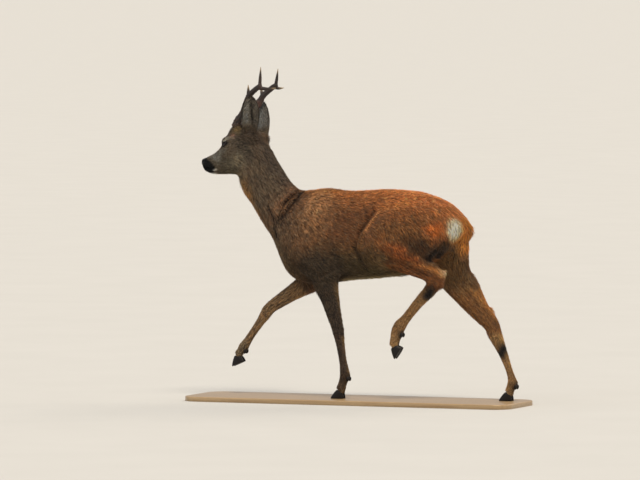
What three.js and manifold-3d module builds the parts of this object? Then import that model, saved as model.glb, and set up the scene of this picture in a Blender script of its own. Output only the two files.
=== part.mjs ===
// A roebuck (Capreolus capreolus) in its short summer coat, life size, at a trot: the left fore and the
// right hind foot stand, the other two swing forward. It stands on a plain flat base.
// Millimetres, +Z up, the nose towards -X and the animal's left side towards -Y.
// The origin is the centre of the base's underside; heights below are counted from the base's top.
import * as THREE from "three";
import { mergeVertices } from "three/addons/utils/BufferGeometryUtils.js";
import Module from "manifold-3d";

const wasm = await Module();
wasm.setup();

// ---------------------------------------------------------------- driving dimensions
const BASE = { length: 1160, width: 300, thickness: 16, corner: 60 };
const PART_GAP = 0.3; // between two parts that meet
const TRACK = { shoulder: 54, elbow: 60, carpus: 53, hip: 54, stifle: 72, hock: 60, fetlock: 49 };
const EYE = { x: -459, y: 34, z: 839, radius: 13.5 };
const EARS = {
  left: { base: [-373, 38, 880], tip: [-345, 92, 1001], facing: [0.1, 0.99, 0] },
  right: { base: [-357, 38, 866], tip: [-397, 92, 987], facing: [0.05, 0.99, 0] },
};
const EAR = { width: 35, cup: 15, wall: 5, root: 19 };
const BURR = { radius: 17, height: 9 };
const CLAW = { length: 46, width: 16, height: 29, gap: 2 };
const DEWCLAW = { length: 17, width: 11 };

// Cross-sections from nose to rump: where each meets the back line (x, z) and the throat and belly
// line (x, z), half its width, how far up it is widest (0 to 1), and the shape of its upper and
// lower half (1 is an ellipse, more comes to a ridge, less is boxy).
const NOSE_TO_RUMP = [
  [-556, 788, -558, 758, 12, 0.5, 0.9, 0.9], // nose pad
  [-538, 797, -547, 745, 19, 0.5, 0.9, 0.9],
  [-517, 808, -523, 736, 21, 0.5, 0.95, 0.9], // mouth
  [-501, 821, -498, 735, 24, 0.5, 1.0, 1.0],
  [-487, 837, -473, 735, 32, 0.6, 1.0, 1.2], // cheek
  [-473, 854, -453, 735, 40, 0.65, 0.9, 1.3], // eyes
  [-453, 875, -437, 735, 43, 0.65, 0.9, 1.2], // forehead
  [-430, 889, -428, 727, 42, 0.6, 0.95, 1.1], // jaw angle
  [-401, 897, -419, 703, 41, 0.55, 1.0, 1.0], // poll
  [-364, 886, -406, 671, 41, 0.5, 1.0, 1.0],
  [-331, 855, -387, 646, 42, 0.5, 1.0, 1.0], // nape
  [-304, 812, -365, 613, 44, 0.5, 1.1, 1.0],
  [-274, 764, -340, 574, 47, 0.5, 1.1, 1.0], // middle of the neck
  [-243, 719, -315, 540, 52, 0.5, 1.15, 1.0],
  [-208, 692, -295, 509, 61, 0.48, 1.2, 1.0], // root of the neck
  [-175, 691, -279, 472, 68, 0.45, 1.25, 1.0],
  [-143, 695, -262, 434, 72, 0.45, 1.3, 1.0],
  [-115, 699, -232, 398, 75, 0.45, 1.3, 1.0], // withers and breast
  [-82, 698, -175, 379, 77, 0.45, 1.25, 1.0],
  [-47, 692, -90, 381, 80, 0.45, 1.2, 1.0], // girth
  [-4, 690, -18, 391, 84, 0.45, 1.1, 1.0],
  [50, 693, 50, 397, 87, 0.45, 1.05, 1.0],
  [107, 696, 115, 404, 88, 0.48, 1.0, 1.0], // loin
  [168, 694, 168, 415, 87, 0.5, 1.0, 1.0],
  [222, 688, 218, 432, 86, 0.55, 0.95, 1.0], // hips
  [272, 675, 265, 456, 85, 0.55, 0.95, 1.0],
  [315, 657, 304, 480, 81, 0.55, 0.95, 1.0], // croup
  [350, 632, 337, 496, 73, 0.5, 0.95, 1.0],
  [377, 605, 360, 511, 61, 0.5, 0.95, 1.0], // buttocks
  [395, 580, 380, 527, 43, 0.5, 0.95, 1.0],
];

// Thickness along a limb: which bone, the share of the way down it, the reach of the flesh in front of
// the bone's axis and behind it, and half the width. Bone 0 is the shoulder blade or the thigh.
const FOREARM_STANDING = [
  [2, 0.0, 56, 50, 28], // elbow
  [2, 0.25, 51, 33, 25],
  [2, 0.47, 37, 28, 21],
  [2, 0.73, 29, 24, 18],
  [2, 0.94, 22, 22, 17],
];
const FOREARM_SWINGING = [
  [2, 0.0, 36, 40, 28], // elbow
  [2, 0.25, 32, 32, 25],
  [2, 0.47, 27, 27, 21],
  [2, 0.73, 23, 24, 18],
  [2, 0.94, 19, 22, 17],
];
const SHOULDER = [
  [0, 0.0, 24, 30, 15],
  [0, 0.25, 40, 52, 22],
  [0, 0.6, 46, 70, 27],
  [0, 1.0, 42, 70, 28], // point of the shoulder
];
const UPPER_ARM = [
  [1, -0.1, 46, 62, 28],
  [1, 0.45, 50, 70, 31],
  [1, 0.8, 46, 60, 30],
];
const FORE_CANNON = [
  [3, 0.06, 19, 22, 17.5], // carpus
  [3, 0.2, 16, 20, 15],
  [3, 0.4, 13, 16, 12],
  [3, 0.7, 12, 14, 12],
  [3, 0.9, 14, 16, 15],
  [4, 0.05, 16, 19, 17], // fetlock
  [4, 0.5, 13, 15, 16],
  [4, 0.95, 15, 16, 17.5], // crown of the hoof
];
const THIGH_FLEXED = [
  [0, -0.28, 34, 60, 26],
  [0, -0.05, 62, 92, 38], // hip
  [0, 0.25, 84, 108, 43],
  [0, 0.55, 92, 104, 44],
  [0, 0.8, 86, 84, 40],
  [0, 1.0, 64, 60, 34], // stifle
];
const THIGH_STRAIGHT = [
  [0, -0.28, 30, 34, 24],
  [0, -0.05, 62, 76, 36], // hip
  [0, 0.25, 80, 84, 42],
  [0, 0.55, 66, 78, 43],
  [0, 0.8, 54, 74, 39],
  [0, 1.0, 46, 62, 34], // stifle
];
const SHANK_FLEXED = [
  [1, -0.08, 44, 42, 28],
  [1, 0.15, 42, 55, 31],
  [1, 0.4, 33, 61, 27],
  [1, 0.62, 25, 62, 22],
  [1, 0.82, 18, 60, 17],
  [1, 0.95, 18, 50, 15],
  [2, 0.0, 25, 29, 16], // hock
  [2, 0.12, 26, 22, 16],
  [2, 0.25, 25, 20, 14],
  [2, 0.45, 24, 13, 12.5],
  [2, 0.75, 23, 10, 12.5],
  [2, 0.92, 28, 14, 15],
];
const SHANK_STRAIGHT = [
  [1, -0.08, 44, 60, 34],
  [1, 0.15, 42, 72, 34],
  [1, 0.35, 39, 65, 30],
  [1, 0.6, 36, 46, 24],
  [1, 0.8, 32, 34, 18],
  [1, 0.95, 28, 31, 16],
  [2, 0.04, 27, 28, 16], // hock
  [2, 0.16, 26, 25, 16],
  [2, 0.32, 19, 22, 14],
  [2, 0.52, 12, 19, 12],
  [2, 0.78, 9, 14, 12],
  [2, 0.93, 13, 13, 15],
];
const FOOT_FLEXED = [
  [3, 0.1, 25, 18, 16.5], // fetlock
  [3, 0.5, 21, 15, 15],
  [3, 0.95, 16, 16, 17], // crown of the hoof
];
const FOOT_STRAIGHT = [
  [3, 0.1, 18, 18, 16.5], // fetlock
  [3, 0.5, 15, 15, 15],
  [3, 0.95, 14, 16, 17], // crown of the hoof
];

// The pose: the joints of each limb in side view (x, z) and how far each is from the middle plane, the
// way its hoof points in degrees below level, and the outline in side view of the space it takes up.
const LIMBS = {
  foreleg_left: {
    side: -1,
    joints: [
      [-120, 664, 28],
      [-212, 500, TRACK.shoulder],
      [-90, 412, TRACK.elbow],
      [-53, 236, TRACK.carpus],
      [-27, 80, TRACK.fetlock],
      [-43, CLAW.height + PART_GAP, TRACK.fetlock],
    ],
    sections: [...SHOULDER, ...UPPER_ARM, ...FOREARM_STANDING, ...FORE_CANNON],
    hoofDown: 0,
    region: [
      [-290, 480], [-10, 480], [20, 380], [60, 60], [60, -40], [-160, -40], [-150, 250], [-290, 340],
    ],
  },
  foreleg_right: {
    side: 1,
    joints: [
      [-130, 664, 28],
      [-226, 508, TRACK.shoulder],
      [-196, 382, TRACK.elbow],
      [-340, 291, TRACK.carpus],
      [-432, 160, TRACK.fetlock],
      [-452, 131, TRACK.fetlock],
    ],
    sections: [...SHOULDER, ...UPPER_ARM, ...FOREARM_SWINGING, ...FORE_CANNON],
    hoofDown: 24,
    region: [
      [-220, 480], [-60, 480], [-60, 290], [-300, 190], [-400, 50], [-560, 50], [-560, 190],
      [-400, 350], [-300, 381], [-228, 392], [-220, 410],
    ],
  },
  hindleg_left: {
    side: -1,
    joints: [
      [272, 592, TRACK.hip],
      [88, 500, TRACK.stifle],
      [303, 396, TRACK.hock],
      [164, 230, TRACK.fetlock],
      [146, 178, TRACK.fetlock],
    ],
    sections: [...THIGH_FLEXED, ...SHANK_FLEXED, ...FOOT_FLEXED],
    hoofDown: 57,
    region: [
      [10, 380], [-20, 490], [20, 600], [100, 660], [230, 670], [340, 660], [420, 560], [440, 60],
      [10, 60],
    ],
  },
  hindleg_right: {
    side: 1,
    joints: [
      [272, 590, TRACK.hip],
      [300, 402, TRACK.stifle],
      [450, 250, TRACK.hock],
      [531, 62, TRACK.fetlock],
      [516, CLAW.height + PART_GAP, TRACK.fetlock],
    ],
    sections: [...THIGH_STRAIGHT, ...SHANK_STRAIGHT, ...FOOT_STRAIGHT],
    hoofDown: 0,
    region: [
      [150, 640], [260, 680], [380, 640], [460, 530], [540, 320], [660, 200], [660, -40],
      [420, -40], [340, 180], [180, 330], [130, 450],
    ],
  },
};
const LIMB_INNER = 29; // a limb's part of the flesh starts this far from the middle plane

// The antlers: the beam's line and radius from inside the skull to the main fork, and the tips of its
// front, back and top tine.
const BEAM = [
  [-416, 24, 872, 13],
  [-424, 27, 906, 12.5],
  [-409, 36, 928, 11],
  [-395, 45, 943, 10.5],
  [-381, 54, 970, 10],
  [-367, 62, 998, 9.5],
  [-347, 68, 1018, 8.8],
  [-324, 70, 1034, 8],
];
const FRONT_FORK = 5; // the point of the beam where the front tine leaves
const TINES = {
  left: { front: [-367, 66, 1038], back: [-265, 72, 1028], top: [-322, 65, 1098] },
  right: { front: [-377, 66, 1028], back: [-296, 74, 1026], top: [-314, 66, 1090] },
};
const TINE_TIP_RADIUS = 1.2;

// ---------------------------------------------------------------- materials
const finish = (color, roughness) => new THREE.MeshStandardMaterial({ color, roughness, metalness: 0 });
const COAT = finish(0x7a4326, 0.85);
const FACE = finish(0x5d5048, 0.85);
const ANTLER = finish(0x4a3226, 0.6);
const HORN = finish(0x1c1917, 0.4);
const EYEBALL = finish(0x0d0907, 0.05);
const BOARD = finish(0xb9a88f, 0.5);

// ---------------------------------------------------------------- surfaces and solids
// A closed surface: a sphere's grid with each vertex moved to point(way along 0..1, angle round).
function wrapped(point, sides, rings) {
  const geometry = new THREE.SphereGeometry(1, sides, rings);
  const { position, uv } = geometry.attributes;
  for (let i = 0; i < position.count; i++)
    position.setXYZ(i, ...point(1 - uv.getY(i), 2 * Math.PI * uv.getX(i)));
  return geometry;
}

// The way along a surface of so many rings between its two flat ends, and whether it is open there.
function between(along, rings) {
  const way = THREE.MathUtils.clamp((along * (rings + 2) - 1) / rings, 0, 1);
  return [way, along > 0 && along < 1];
}

// A closed geometry as a solid, turned the right way out.
function solid(geometry) {
  geometry.deleteAttribute("normal");
  geometry.deleteAttribute("uv");
  const merged = mergeVertices(geometry, 1e-3);
  const triVerts = Uint32Array.from(merged.index.array);
  const vertProperties = merged.attributes.position.array;
  const made = new wasm.Manifold(new wasm.Mesh({ numProp: 3, vertProperties, triVerts }));
  if (made.volume() > 0) return made;
  triVerts.reverse();
  return new wasm.Manifold(new wasm.Mesh({ numProp: 3, vertProperties, triVerts }));
}

const joined = (solids) => solids.reduce((whole, piece) => whole.add(piece));

// Catmull-Rom interpolation of every column of a table at row s, which need not be whole.
function rowAt(rows, s) {
  const i = Math.min(Math.floor(s), rows.length - 2);
  const t = s - i;
  const [a, b, c, d] = [i - 1, i, i + 1, i + 2].map((k) => rows[THREE.MathUtils.clamp(k, 0, rows.length - 1)]);
  return b.map((value, k) => {
    const [p, r, q] = [a[k], c[k], d[k]];
    return value + 0.5 * t * (r - p + t * (2 * p - 5 * value + 4 * r - q + t * (3 * (value - r) + q - p)));
  });
}

// A body surface through sections [back x, z, belly x, z, half width, widest at, upper, lower, y].
// Each end is closed by a round cap that stands out by its reach.
function fleshed(rows, { sides, perRow, nose, tail, grow = 0 }) {
  const CAP_RINGS = 2;
  const last = rows.length - 1;
  const rings = last * perRow + 2 * CAP_RINGS;
  const middle = ([tx, tz, lx, lz]) => new THREE.Vector2((tx + lx) / 2, (tz + lz) / 2);
  const outward = [
    middle(rows[0]).sub(middle(rows[1])).normalize(),
    middle(rows[last]).sub(middle(rows[last - 1])).normalize(),
  ];
  const point = (along, angle) => {
    const ring = along * rings;
    const beyond = Math.max(CAP_RINGS - ring, ring - (rings - CAP_RINGS), 0) / CAP_RINGS;
    const s = THREE.MathUtils.clamp((ring - CAP_RINGS) / perRow, 0, last);
    const [tx, tz, lx, lz, halfWidth, widest, upper, lower, y] = rowAt(rows, s);
    const up = Math.cos(angle);
    const share = up > 0 ? widest + (1 - widest) * up : widest + widest * up;
    const side = Math.sign(Math.sin(angle)) * Math.abs(Math.sin(angle)) ** (up > 0 ? upper : lower);
    const shrink = Math.cos((beyond * Math.PI) / 2);
    const height = Math.hypot(tx - lx, tz - lz);
    const stretch = (height + 2 * grow) / height;
    const h = 0.5 + (share - 0.5) * stretch * shrink + (widest - 0.5) * (1 - shrink);
    const [cap, way] = ring < rings / 2 ? [nose, outward[0]] : [tail, outward[1]];
    const reach = (cap + grow) * Math.sin((beyond * Math.PI) / 2);
    return [
      lx + (tx - lx) * h + way.x * reach,
      y + (halfWidth + grow) * side * shrink,
      lz + (tz - lz) * h + way.y * reach,
    ];
  };
  return solid(wrapped(point, sides, rings));
}

// Turns a limb's joints and the thicknesses of one stretch of it into sections for fleshed().
function limbSections({ side, joints }, rows, shape) {
  const centres = rows.map(([bone, share]) => {
    const [a, b] = [joints[bone], joints[bone + 1]];
    return a.map((value, k) => value + (b[k] - value) * share);
  });
  return rows.map(([, , reachFront, reachBack, halfWidth], i) => {
    const [x, z, y] = centres[i];
    const [before, after] = [centres[Math.max(i - 1, 0)], centres[Math.min(i + 1, rows.length - 1)]];
    const down = new THREE.Vector2(after[0] - before[0], after[1] - before[1]).normalize();
    const front = [down.y, -down.x]; // across the limb, towards its front edge
    return [
      x + front[0] * reachFront,
      z + front[1] * reachFront,
      x - front[0] * reachBack,
      z - front[1] * reachBack,
      halfWidth,
      reachBack / (reachFront + reachBack),
      shape,
      shape,
      side * y,
    ];
  });
}

// A limb's flesh: the broad shoulder or thigh, the shank below it, and on a hind leg the heel bone.
function limbFlesh(limb) {
  const { side, joints, sections } = limb;
  const broad = sections.filter(([bone]) => bone === 0);
  const slender = sections.filter(([bone]) => bone > 0);
  const pieces = [
    fleshed(limbSections(limb, broad, 0.75), { sides: 12, perRow: 1, nose: 14, tail: 22 }),
    fleshed(limbSections(limb, slender, 1), { sides: 8, perRow: 1, nose: 10, tail: 4 }),
  ];
  if (joints.length === 5) {
    const [UP, BACK] = [52, 16]; // the heel's tip, from the hock joint
    const [[hx, hz, y], [fx, fz]] = joints.slice(2, 4);
    const down = new THREE.Vector2(fx - hx, fz - hz).normalize();
    const heel = [[0, 19], [0.5, 16], [0.85, 12], [1, 5]].map(([share, radius]) => [
      hx + share * (-down.x * UP - down.y * BACK),
      side * y,
      hz + share * (-down.y * UP + down.x * BACK),
      radius,
    ]);
    pieces.push(horn(heel, 8, 1));
  }
  return joined(pieces);
}

// A round horn along points [x, y, z, radius], closed at both ends.
function horn(points, sides = 8, perPoint = 2, grow = 0) {
  const curve = new THREE.CatmullRomCurve3(points.map(([x, y, z]) => new THREE.Vector3(x, y, z)));
  const rings = (points.length - 1) * perPoint;
  const point = (along, angle) => {
    const [way, open] = between(along, rings);
    const here = curve.getPoint(way);
    const ahead = curve.getTangent(way);
    const across = new THREE.Vector3(0, 1, 0).cross(ahead).normalize();
    const round = ahead.clone().cross(across);
    const radius = open ? rowAt(points, way * (points.length - 1))[3] + grow : 0;
    here.addScaledVector(across, radius * Math.cos(angle)).addScaledVector(round, radius * Math.sin(angle));
    return here.addScaledVector(ahead, (way - 0.5) * 2 * grow).toArray();
  };
  return solid(wrapped(point, sides, rings + 2));
}

function ball(x, y, z, rx, ry = rx, rz = rx, sides = 16) {
  return solid(new THREE.SphereGeometry(1, sides, sides / 2).scale(rx, ry, rz).translate(x, y, z));
}

// All of space on one side of a plane in side view, half a gap away from it.
function beyond([x, z], [dx, dz]) {
  const SIZE = 4000;
  const box = new THREE.BoxGeometry(SIZE, SIZE, SIZE).translate(SIZE / 2 + PART_GAP / 2, 0, 0);
  return solid(box.rotateY(-Math.atan2(dz, dx)).translate(x, 0, z));
}

// Parts a solid in two by a thin cut across it, at a point and in a direction of the side view.
const parted = (whole, at, [dx, dz]) => [
  whole.intersect(beyond(at, [-dx, -dz])),
  whole.intersect(beyond(at, [dx, dz])),
];

// The block of space that holds one limb: its outline in side view, moved out by grow, from an inner
// plane outwards.
function limbRegion({ side, region }, grow = 0) {
  const REACH = 250;
  const corners = region.map(([x, z]) => new THREE.Vector2(x, z));
  const turn = Math.sign(THREE.ShapeUtils.area(corners));
  const normal = (a, b) => new THREE.Vector2(b.y - a.y, a.x - b.x).normalize().multiplyScalar(turn);
  const outline = corners.map((corner, i) => {
    const before = normal(corners.at(i - 1), corner);
    const after = normal(corner, corners[(i + 1) % corners.length]);
    const outward = before.clone().add(after).divideScalar(1 + before.dot(after));
    return corner.clone().addScaledVector(outward, grow);
  });
  const block = new THREE.ExtrudeGeometry(new THREE.Shape(outline), { depth: REACH, bevelEnabled: false });
  const shift = side < 0 ? -LIMB_INNER + grow : LIMB_INNER - grow + REACH;
  return solid(block.rotateX(Math.PI / 2).translate(0, shift, 0));
}

// ---------------------------------------------------------------- the animal's pieces
// One claw of a cloven hoof at the end of a limb, or with grow, the space it needs: rings from its flat
// sole to its crown, the toe towards -x, then turned down about the middle of the crown.
function claw({ side, joints, hoofDown }, which, grow = 0) {
  const rows = [
    // height, toe, heel and half width, as shares of the claw's size
    [0, -0.56, 0.44, 0.5],
    [0.25, -0.5, 0.43, 0.5],
    [0.65, -0.28, 0.4, 0.46],
    [1, -0.08, 0.36, 0.4],
  ];
  const rings = rows.length - 1;
  const { length, width, height, gap } = CLAW;
  const crown = (length * (rows[rings][1] + rows[rings][2])) / 2;
  const point = (along, angle) => {
    const [way, open] = between(along, rings);
    const [up, toe, heel, half] = rows[Math.round(way * rings)];
    const reach = open ? (length * (heel - toe)) / 2 + grow : 0;
    const spread = open ? width * half + grow : 0;
    const across = Math.sign(Math.sin(angle)) * Math.abs(Math.sin(angle)) ** 0.8;
    return [
      (length * (toe + heel)) / 2 + Math.cos(angle) * reach - crown,
      (which * (width + gap)) / 2 + spread * across,
      height * (up - 1) + grow * (2 * up - 1),
    ];
  };
  const [x, z, y] = joints.at(-1);
  return solid(wrapped(point, 8, rings + 2)).rotate([0, -hoofDown, 0]).translate([x, side * y, z]);
}

// A dewclaw: a small pointed lobe behind the fetlock, its tip down the pastern.
function dewclaw({ side, joints }, which, grow = 0) {
  const BEHIND = 17;
  const [[fx, fz, y], [px, pz]] = joints.slice(-2);
  const down = new THREE.Vector2(px - fx, pz - fz).normalize();
  const [length, width] = [DEWCLAW.length / 2 + grow, DEWCLAW.width / 2 + grow];
  const lobe = ball(0, 0, 0, width, width * 0.9, length, 8);
  return lobe
    .rotate([0, THREE.MathUtils.radToDeg(Math.atan2(-down.x, -down.y)) - 20, 0])
    .translate([fx - down.y * BEHIND + down.x * 9, side * y + which * 9, fz + down.x * BEHIND + down.y * 9]);
}

// A leaf-shaped cup: an ear open along its facing, its rims forward of its middle.
function ear(name, side, grow = 0) {
  const [base, tip, facing] = Object.values(EARS[name]).map(([x, y, z]) => new THREE.Vector3(x, side * y, z));
  const up = tip.clone().sub(base);
  facing.addScaledVector(up, -facing.dot(up) / up.lengthSq()).normalize();
  const across = up.clone().normalize().cross(facing);
  const RINGS = 8;
  const point = (along, angle) => {
    const [way, open] = between(along, RINGS);
    const [low, high] = [Math.max(0.48 - way, 0) / 0.48, Math.max(way - 0.48, 0) / 0.53];
    const leaf = (1 - high ** 2.2) ** 0.6 - 0.37 * low ** 2; // narrow foot, widest halfway, blunt tip
    const [c, s] = [Math.cos(angle), Math.sin(angle)];
    const cup = EAR.cup * leaf * (1 - 0.55 * way) * (open ? 1 - c * c : 1);
    const [spread, wall] = open ? [(EAR.width + grow) * leaf, EAR.wall / 2 + grow] : [0, 0];
    return base
      .clone()
      .addScaledVector(up, way + (way - 0.5) * 0.01 * grow)
      .addScaledVector(across, spread * c)
      .addScaledVector(facing, wall * s - cup)
      .toArray();
  };
  return solid(wrapped(point, 12, RINGS + 2));
}

// One antler as its beam and three tines, each tine cut clear of the beam it grows from.
function antler(side, tips) {
  const mirror = ([x, y, z, ...rest]) => [x, side * y, z, ...rest];
  const line = BEAM.map(mirror);
  const grown = horn(line, 7, 1, PART_GAP);
  const [burrX, burrY, burrZ] = line[1];
  const burr = ball(burrX, burrY, burrZ, BURR.radius, BURR.radius * 0.9, BURR.height, 10);
  const tine = (root, tip, grow = 0) => {
    const [x, y, z, radius] = root;
    const bend = tip.map((value, k) => (value + root[k]) / 2 - (k === 2 ? 3 : 0));
    const points = [[x, y, z, radius * 0.75], [...bend, radius * 0.55], [...tip, TINE_TIP_RADIUS]];
    return horn(points, 6, 2, grow).subtract(grown);
  };
  const [frontTip, backTip, topTip] = [tips.front, tips.back, tips.top].map(mirror);
  const [end, beforeEnd] = [line.at(-1), rowAt(line, line.length - 1.4)];
  return {
    beam: horn(line, 7, 1).add(burr),
    front_tine: tine(line[FRONT_FORK], frontTip),
    top_tine: tine(end, topTip),
    back_tine: tine(beforeEnd, backTip).subtract(tine(end, topTip, PART_GAP)),
  };
}

// ---------------------------------------------------------------- assembly
const roebuck = new THREE.Group();
roebuck.position.z = BASE.thickness;

function place(name, made, material) {
  const { numProp, vertProperties, triVerts } = made.getMesh();
  const geometry = new THREE.BufferGeometry();
  geometry.setAttribute("position", new THREE.BufferAttribute(vertProperties, numProp));
  geometry.setIndex(new THREE.BufferAttribute(triVerts, 1));
  geometry.computeVertexNormals();
  const mesh = new THREE.Mesh(geometry, material);
  mesh.name = name;
  roebuck.add(mesh);
}

// Body: one surface from nose to rump, brows, ear roots and four limbs joined to it, then parted by
// thin cuts.
const SIDES = [["left", -1], ["right", 1]];
const bodyRows = NOSE_TO_RUMP.map((row) => [...row, 0]);
const body = fleshed(bodyRows, { sides: 18, perRow: 1, nose: 4, tail: 8 });
const mounds = SIDES.flatMap(([name, side]) => {
  const [x, y, z] = EARS[name].base;
  return [
    ball(EYE.x + 1, side * (EYE.y - 6), EYE.z + 6, 20, 17, 18, 10),
    ball(-439, side * 24, 864, 20, 15, 24, 8),
    ball(x - 2, side * (y - 9), z - 4, EAR.root + 2, EAR.root - 4, EAR.root, 8),
  ];
});
const seat = ball(370, 0, 508, 23, 28, 46, 8); // the flesh under the tail, between the thighs
let rest = joined([body, seat, ...mounds, ...Object.values(LIMBS).map(limbFlesh)]);

const tail = (grow) => ball(397, 0, 561, 14 + grow, 18 + grow, 27 + grow, 10);
rest = rest.subtract(tail(PART_GAP));
place("tail", tail(0), COAT);

for (const [name, limb] of Object.entries(LIMBS)) {
  const { joints } = limb;
  const whole = rest.intersect(limbRegion(limb));
  rest = rest.subtract(limbRegion(limb, PART_GAP));
  const bend = name.startsWith("hind") ? 1 : 2; // the stifle or the elbow
  const way = (k) => new THREE.Vector2(...joints[k + 1]).sub(new THREE.Vector2(...joints[k])).normalize();
  const across = (k) => way(k - 1).add(way(k)).toArray();
  const BELOW = 0.12; // the shank is cut this share of the cannon below the carpus or the hock
  const knee = joints[bend + 1].map((value, k) => value + BELOW * (joints[bend + 2][k] - value));
  const [upper, below] = parted(whole, joints[bend], across(bend));
  const [middle, lower] = parted(below, knee, across(bend + 1));
  place(name + "_upper", upper, COAT);
  place(name + "_middle", middle, COAT);
  let cannon = lower;
  for (const [i, which] of [[1, -1], [2, 1]]) {
    cannon = cannon.subtract(claw(limb, which, PART_GAP)).subtract(dewclaw(limb, which, PART_GAP));
    place(`${name}_claw_${i}`, claw(limb, which), HORN);
    place(`${name}_dewclaw_${i}`, dewclaw(limb, which), HORN);
  }
  place(name + "_lower", cannon, COAT);
}

// Head, neck and trunk, with sockets for eyes, ears and antlers.
const [front, trunk] = parted(rest, [-257, 585], [0.93, -0.36]);
let [head, neck] = parted(front, [-380, 795], [0.93, -0.36]);
for (const [name, side] of SIDES) {
  const eye = (grow) => ball(EYE.x, side * EYE.y, EYE.z, EYE.radius + grow, EYE.radius + grow, EYE.radius + grow, 10);
  const pedicle = horn(BEAM.map(([x, y, z, r]) => [x, side * y, z, r]), 7, 1, PART_GAP);
  head = head.subtract(ear(name, side, PART_GAP)).subtract(pedicle).subtract(eye(PART_GAP));
  neck = neck.subtract(ear(name, side, PART_GAP));
  place("ear_" + name, ear(name, side), FACE);
  place("eye_" + name, eye(0), EYEBALL);
  const pieces = antler(side, TINES[name]);
  for (const [piece, made] of Object.entries(pieces)) place(`antler_${name}_${piece}`, made, ANTLER);
}
place("head", head, FACE);
place("neck", neck, COAT);
place("trunk", trunk, COAT);

// The display base: a board with round corners, its top at height 0.
const corner = new THREE.Shape();
const [hx, hy, r] = [BASE.length / 2, BASE.width / 2, BASE.corner];
corner.moveTo(-hx + r, -hy).lineTo(hx - r, -hy).absarc(hx - r, -hy + r, r, -Math.PI / 2, 0);
corner.absarc(hx - r, hy - r, r, 0, Math.PI / 2).absarc(-hx + r, hy - r, r, Math.PI / 2, Math.PI);
corner.absarc(-hx + r, -hy + r, r, Math.PI, 1.5 * Math.PI);
const board = new THREE.ExtrudeGeometry(corner, {
  depth: BASE.thickness,
  bevelEnabled: false,
  curveSegments: 4,
}).translate(0, 0, -BASE.thickness);
place("stand_base", solid(board), BOARD);

export default roebuck;
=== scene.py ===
# %% [markdown]
# # A roebuck in its summer coat, life size
#
# A museum shows a deer as a skin drawn over a carved body. This file follows that craft in Blender: the
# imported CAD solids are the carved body, and over them go one skin, a coat of small tufts, glass eyes,
# antlers, hooves and a board to stand on. Nothing moves, so every piece rides on the one body, "root".

# %% Load the fixed frame
import math

import bpy
import numpy as np
from mathutils import Matrix


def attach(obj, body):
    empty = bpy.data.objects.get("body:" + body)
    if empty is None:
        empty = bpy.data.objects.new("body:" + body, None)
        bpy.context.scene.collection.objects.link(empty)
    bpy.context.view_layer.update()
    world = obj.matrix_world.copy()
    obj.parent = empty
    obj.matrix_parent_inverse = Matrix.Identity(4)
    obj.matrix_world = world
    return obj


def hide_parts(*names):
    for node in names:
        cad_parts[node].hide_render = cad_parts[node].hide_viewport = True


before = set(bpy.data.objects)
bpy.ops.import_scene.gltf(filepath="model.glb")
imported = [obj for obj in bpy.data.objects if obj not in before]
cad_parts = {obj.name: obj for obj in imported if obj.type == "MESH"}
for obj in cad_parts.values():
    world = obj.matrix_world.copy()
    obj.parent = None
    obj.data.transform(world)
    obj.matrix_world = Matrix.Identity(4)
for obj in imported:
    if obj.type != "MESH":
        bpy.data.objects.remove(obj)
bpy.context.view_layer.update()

# %% [markdown]
# ## The camera
#
# The animal is seen from its left, a little from behind, by a long lens from far away: 22 degrees round
# from square on and 2.5 degrees down. The camera is made first, so every later step can be looked at
# through it. Its three axes are worked out from the two angles and written straight into its matrix.

# %% Camera
AROUND, DOWN = math.radians(22), math.radians(2.5)
CAMERA_DISTANCE = 22.0
LENS = 372.7  # millimetres, on a sensor 36 mm wide
BOARD_TOP = 16.0  # millimetres; heights in the tables below count from here

rightward = np.array([math.cos(AROUND), math.sin(AROUND), 0.0])
toward = np.array([math.sin(AROUND) * math.cos(DOWN), -math.cos(AROUND) * math.cos(DOWN), math.sin(DOWN)])
upward = np.cross(toward, rightward)
aim = np.array([0, 0, BOARD_TOP / 1000]) - 0.1262 * rightward + 0.5246 * upward

camera = bpy.data.objects.new("camera", bpy.data.cameras.new("camera"))
camera.data.lens = LENS
camera.data.clip_end = 400
pose = np.eye(4)
pose[:3, :4] = np.column_stack([rightward, upward, toward, aim + CAMERA_DISTANCE * toward])
camera.matrix_world = Matrix(pose.tolist())
bpy.context.scene.collection.objects.link(camera)
bpy.context.scene.camera = camera
print("camera at", pose[:3, 3].round(3))

# %% [markdown]
# ## Tools: colours, nodes and meshes
#
# Every finish below is a small tree of nodes, and every piece is an array of points and an array of
# faces. Three helpers are enough: one turns a painter's hex colour into the linear light Blender mixes
# in, one adds a node with its settings and its links, and one puts arrays into a mesh. Points are kept in
# millimetres above the board, as a taxidermist would measure them, and become metres only at the end.

# %% Colours and nodes
def srgb(colour):
    """A hex colour as three numbers from 0 to 1, as a screen has them."""
    return np.array([int(colour[i:i + 2], 16) / 255 for i in (1, 3, 5)])


def linear(colour):
    """sRGB to linear light: the lowest shades divided by 12.92, the rest to the power of 2.4."""
    value = srgb(colour) if isinstance(colour, str) else np.asarray(colour, float)
    return np.where(value <= 0.04045, value / 12.92, ((np.maximum(value, 0) + 0.055) / 1.055) ** 2.4)


def paint(colour):
    """A colour as the four numbers that a socket takes."""
    return (*linear(colour).tolist(), 1.0)


def add_node(tree, kind, settings=None, **inputs):
    """Adds a node of a kind, sets its properties, and sets or links its inputs by name. A name that is
    an underscore and a number, such as _6, picks an input by its index."""
    node = tree.nodes.new("ShaderNode" + kind)
    for name, value in (settings or {}).items():
        setattr(node, name, value)
    for name, value in inputs.items():
        socket = node.inputs[int(name[1:])] if name[1:].isdigit() else node.inputs[name.replace("_", " ")]
        if isinstance(value, bpy.types.NodeSocket):
            tree.links.new(value, socket)
        else:
            socket.default_value = value
    return node


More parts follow.
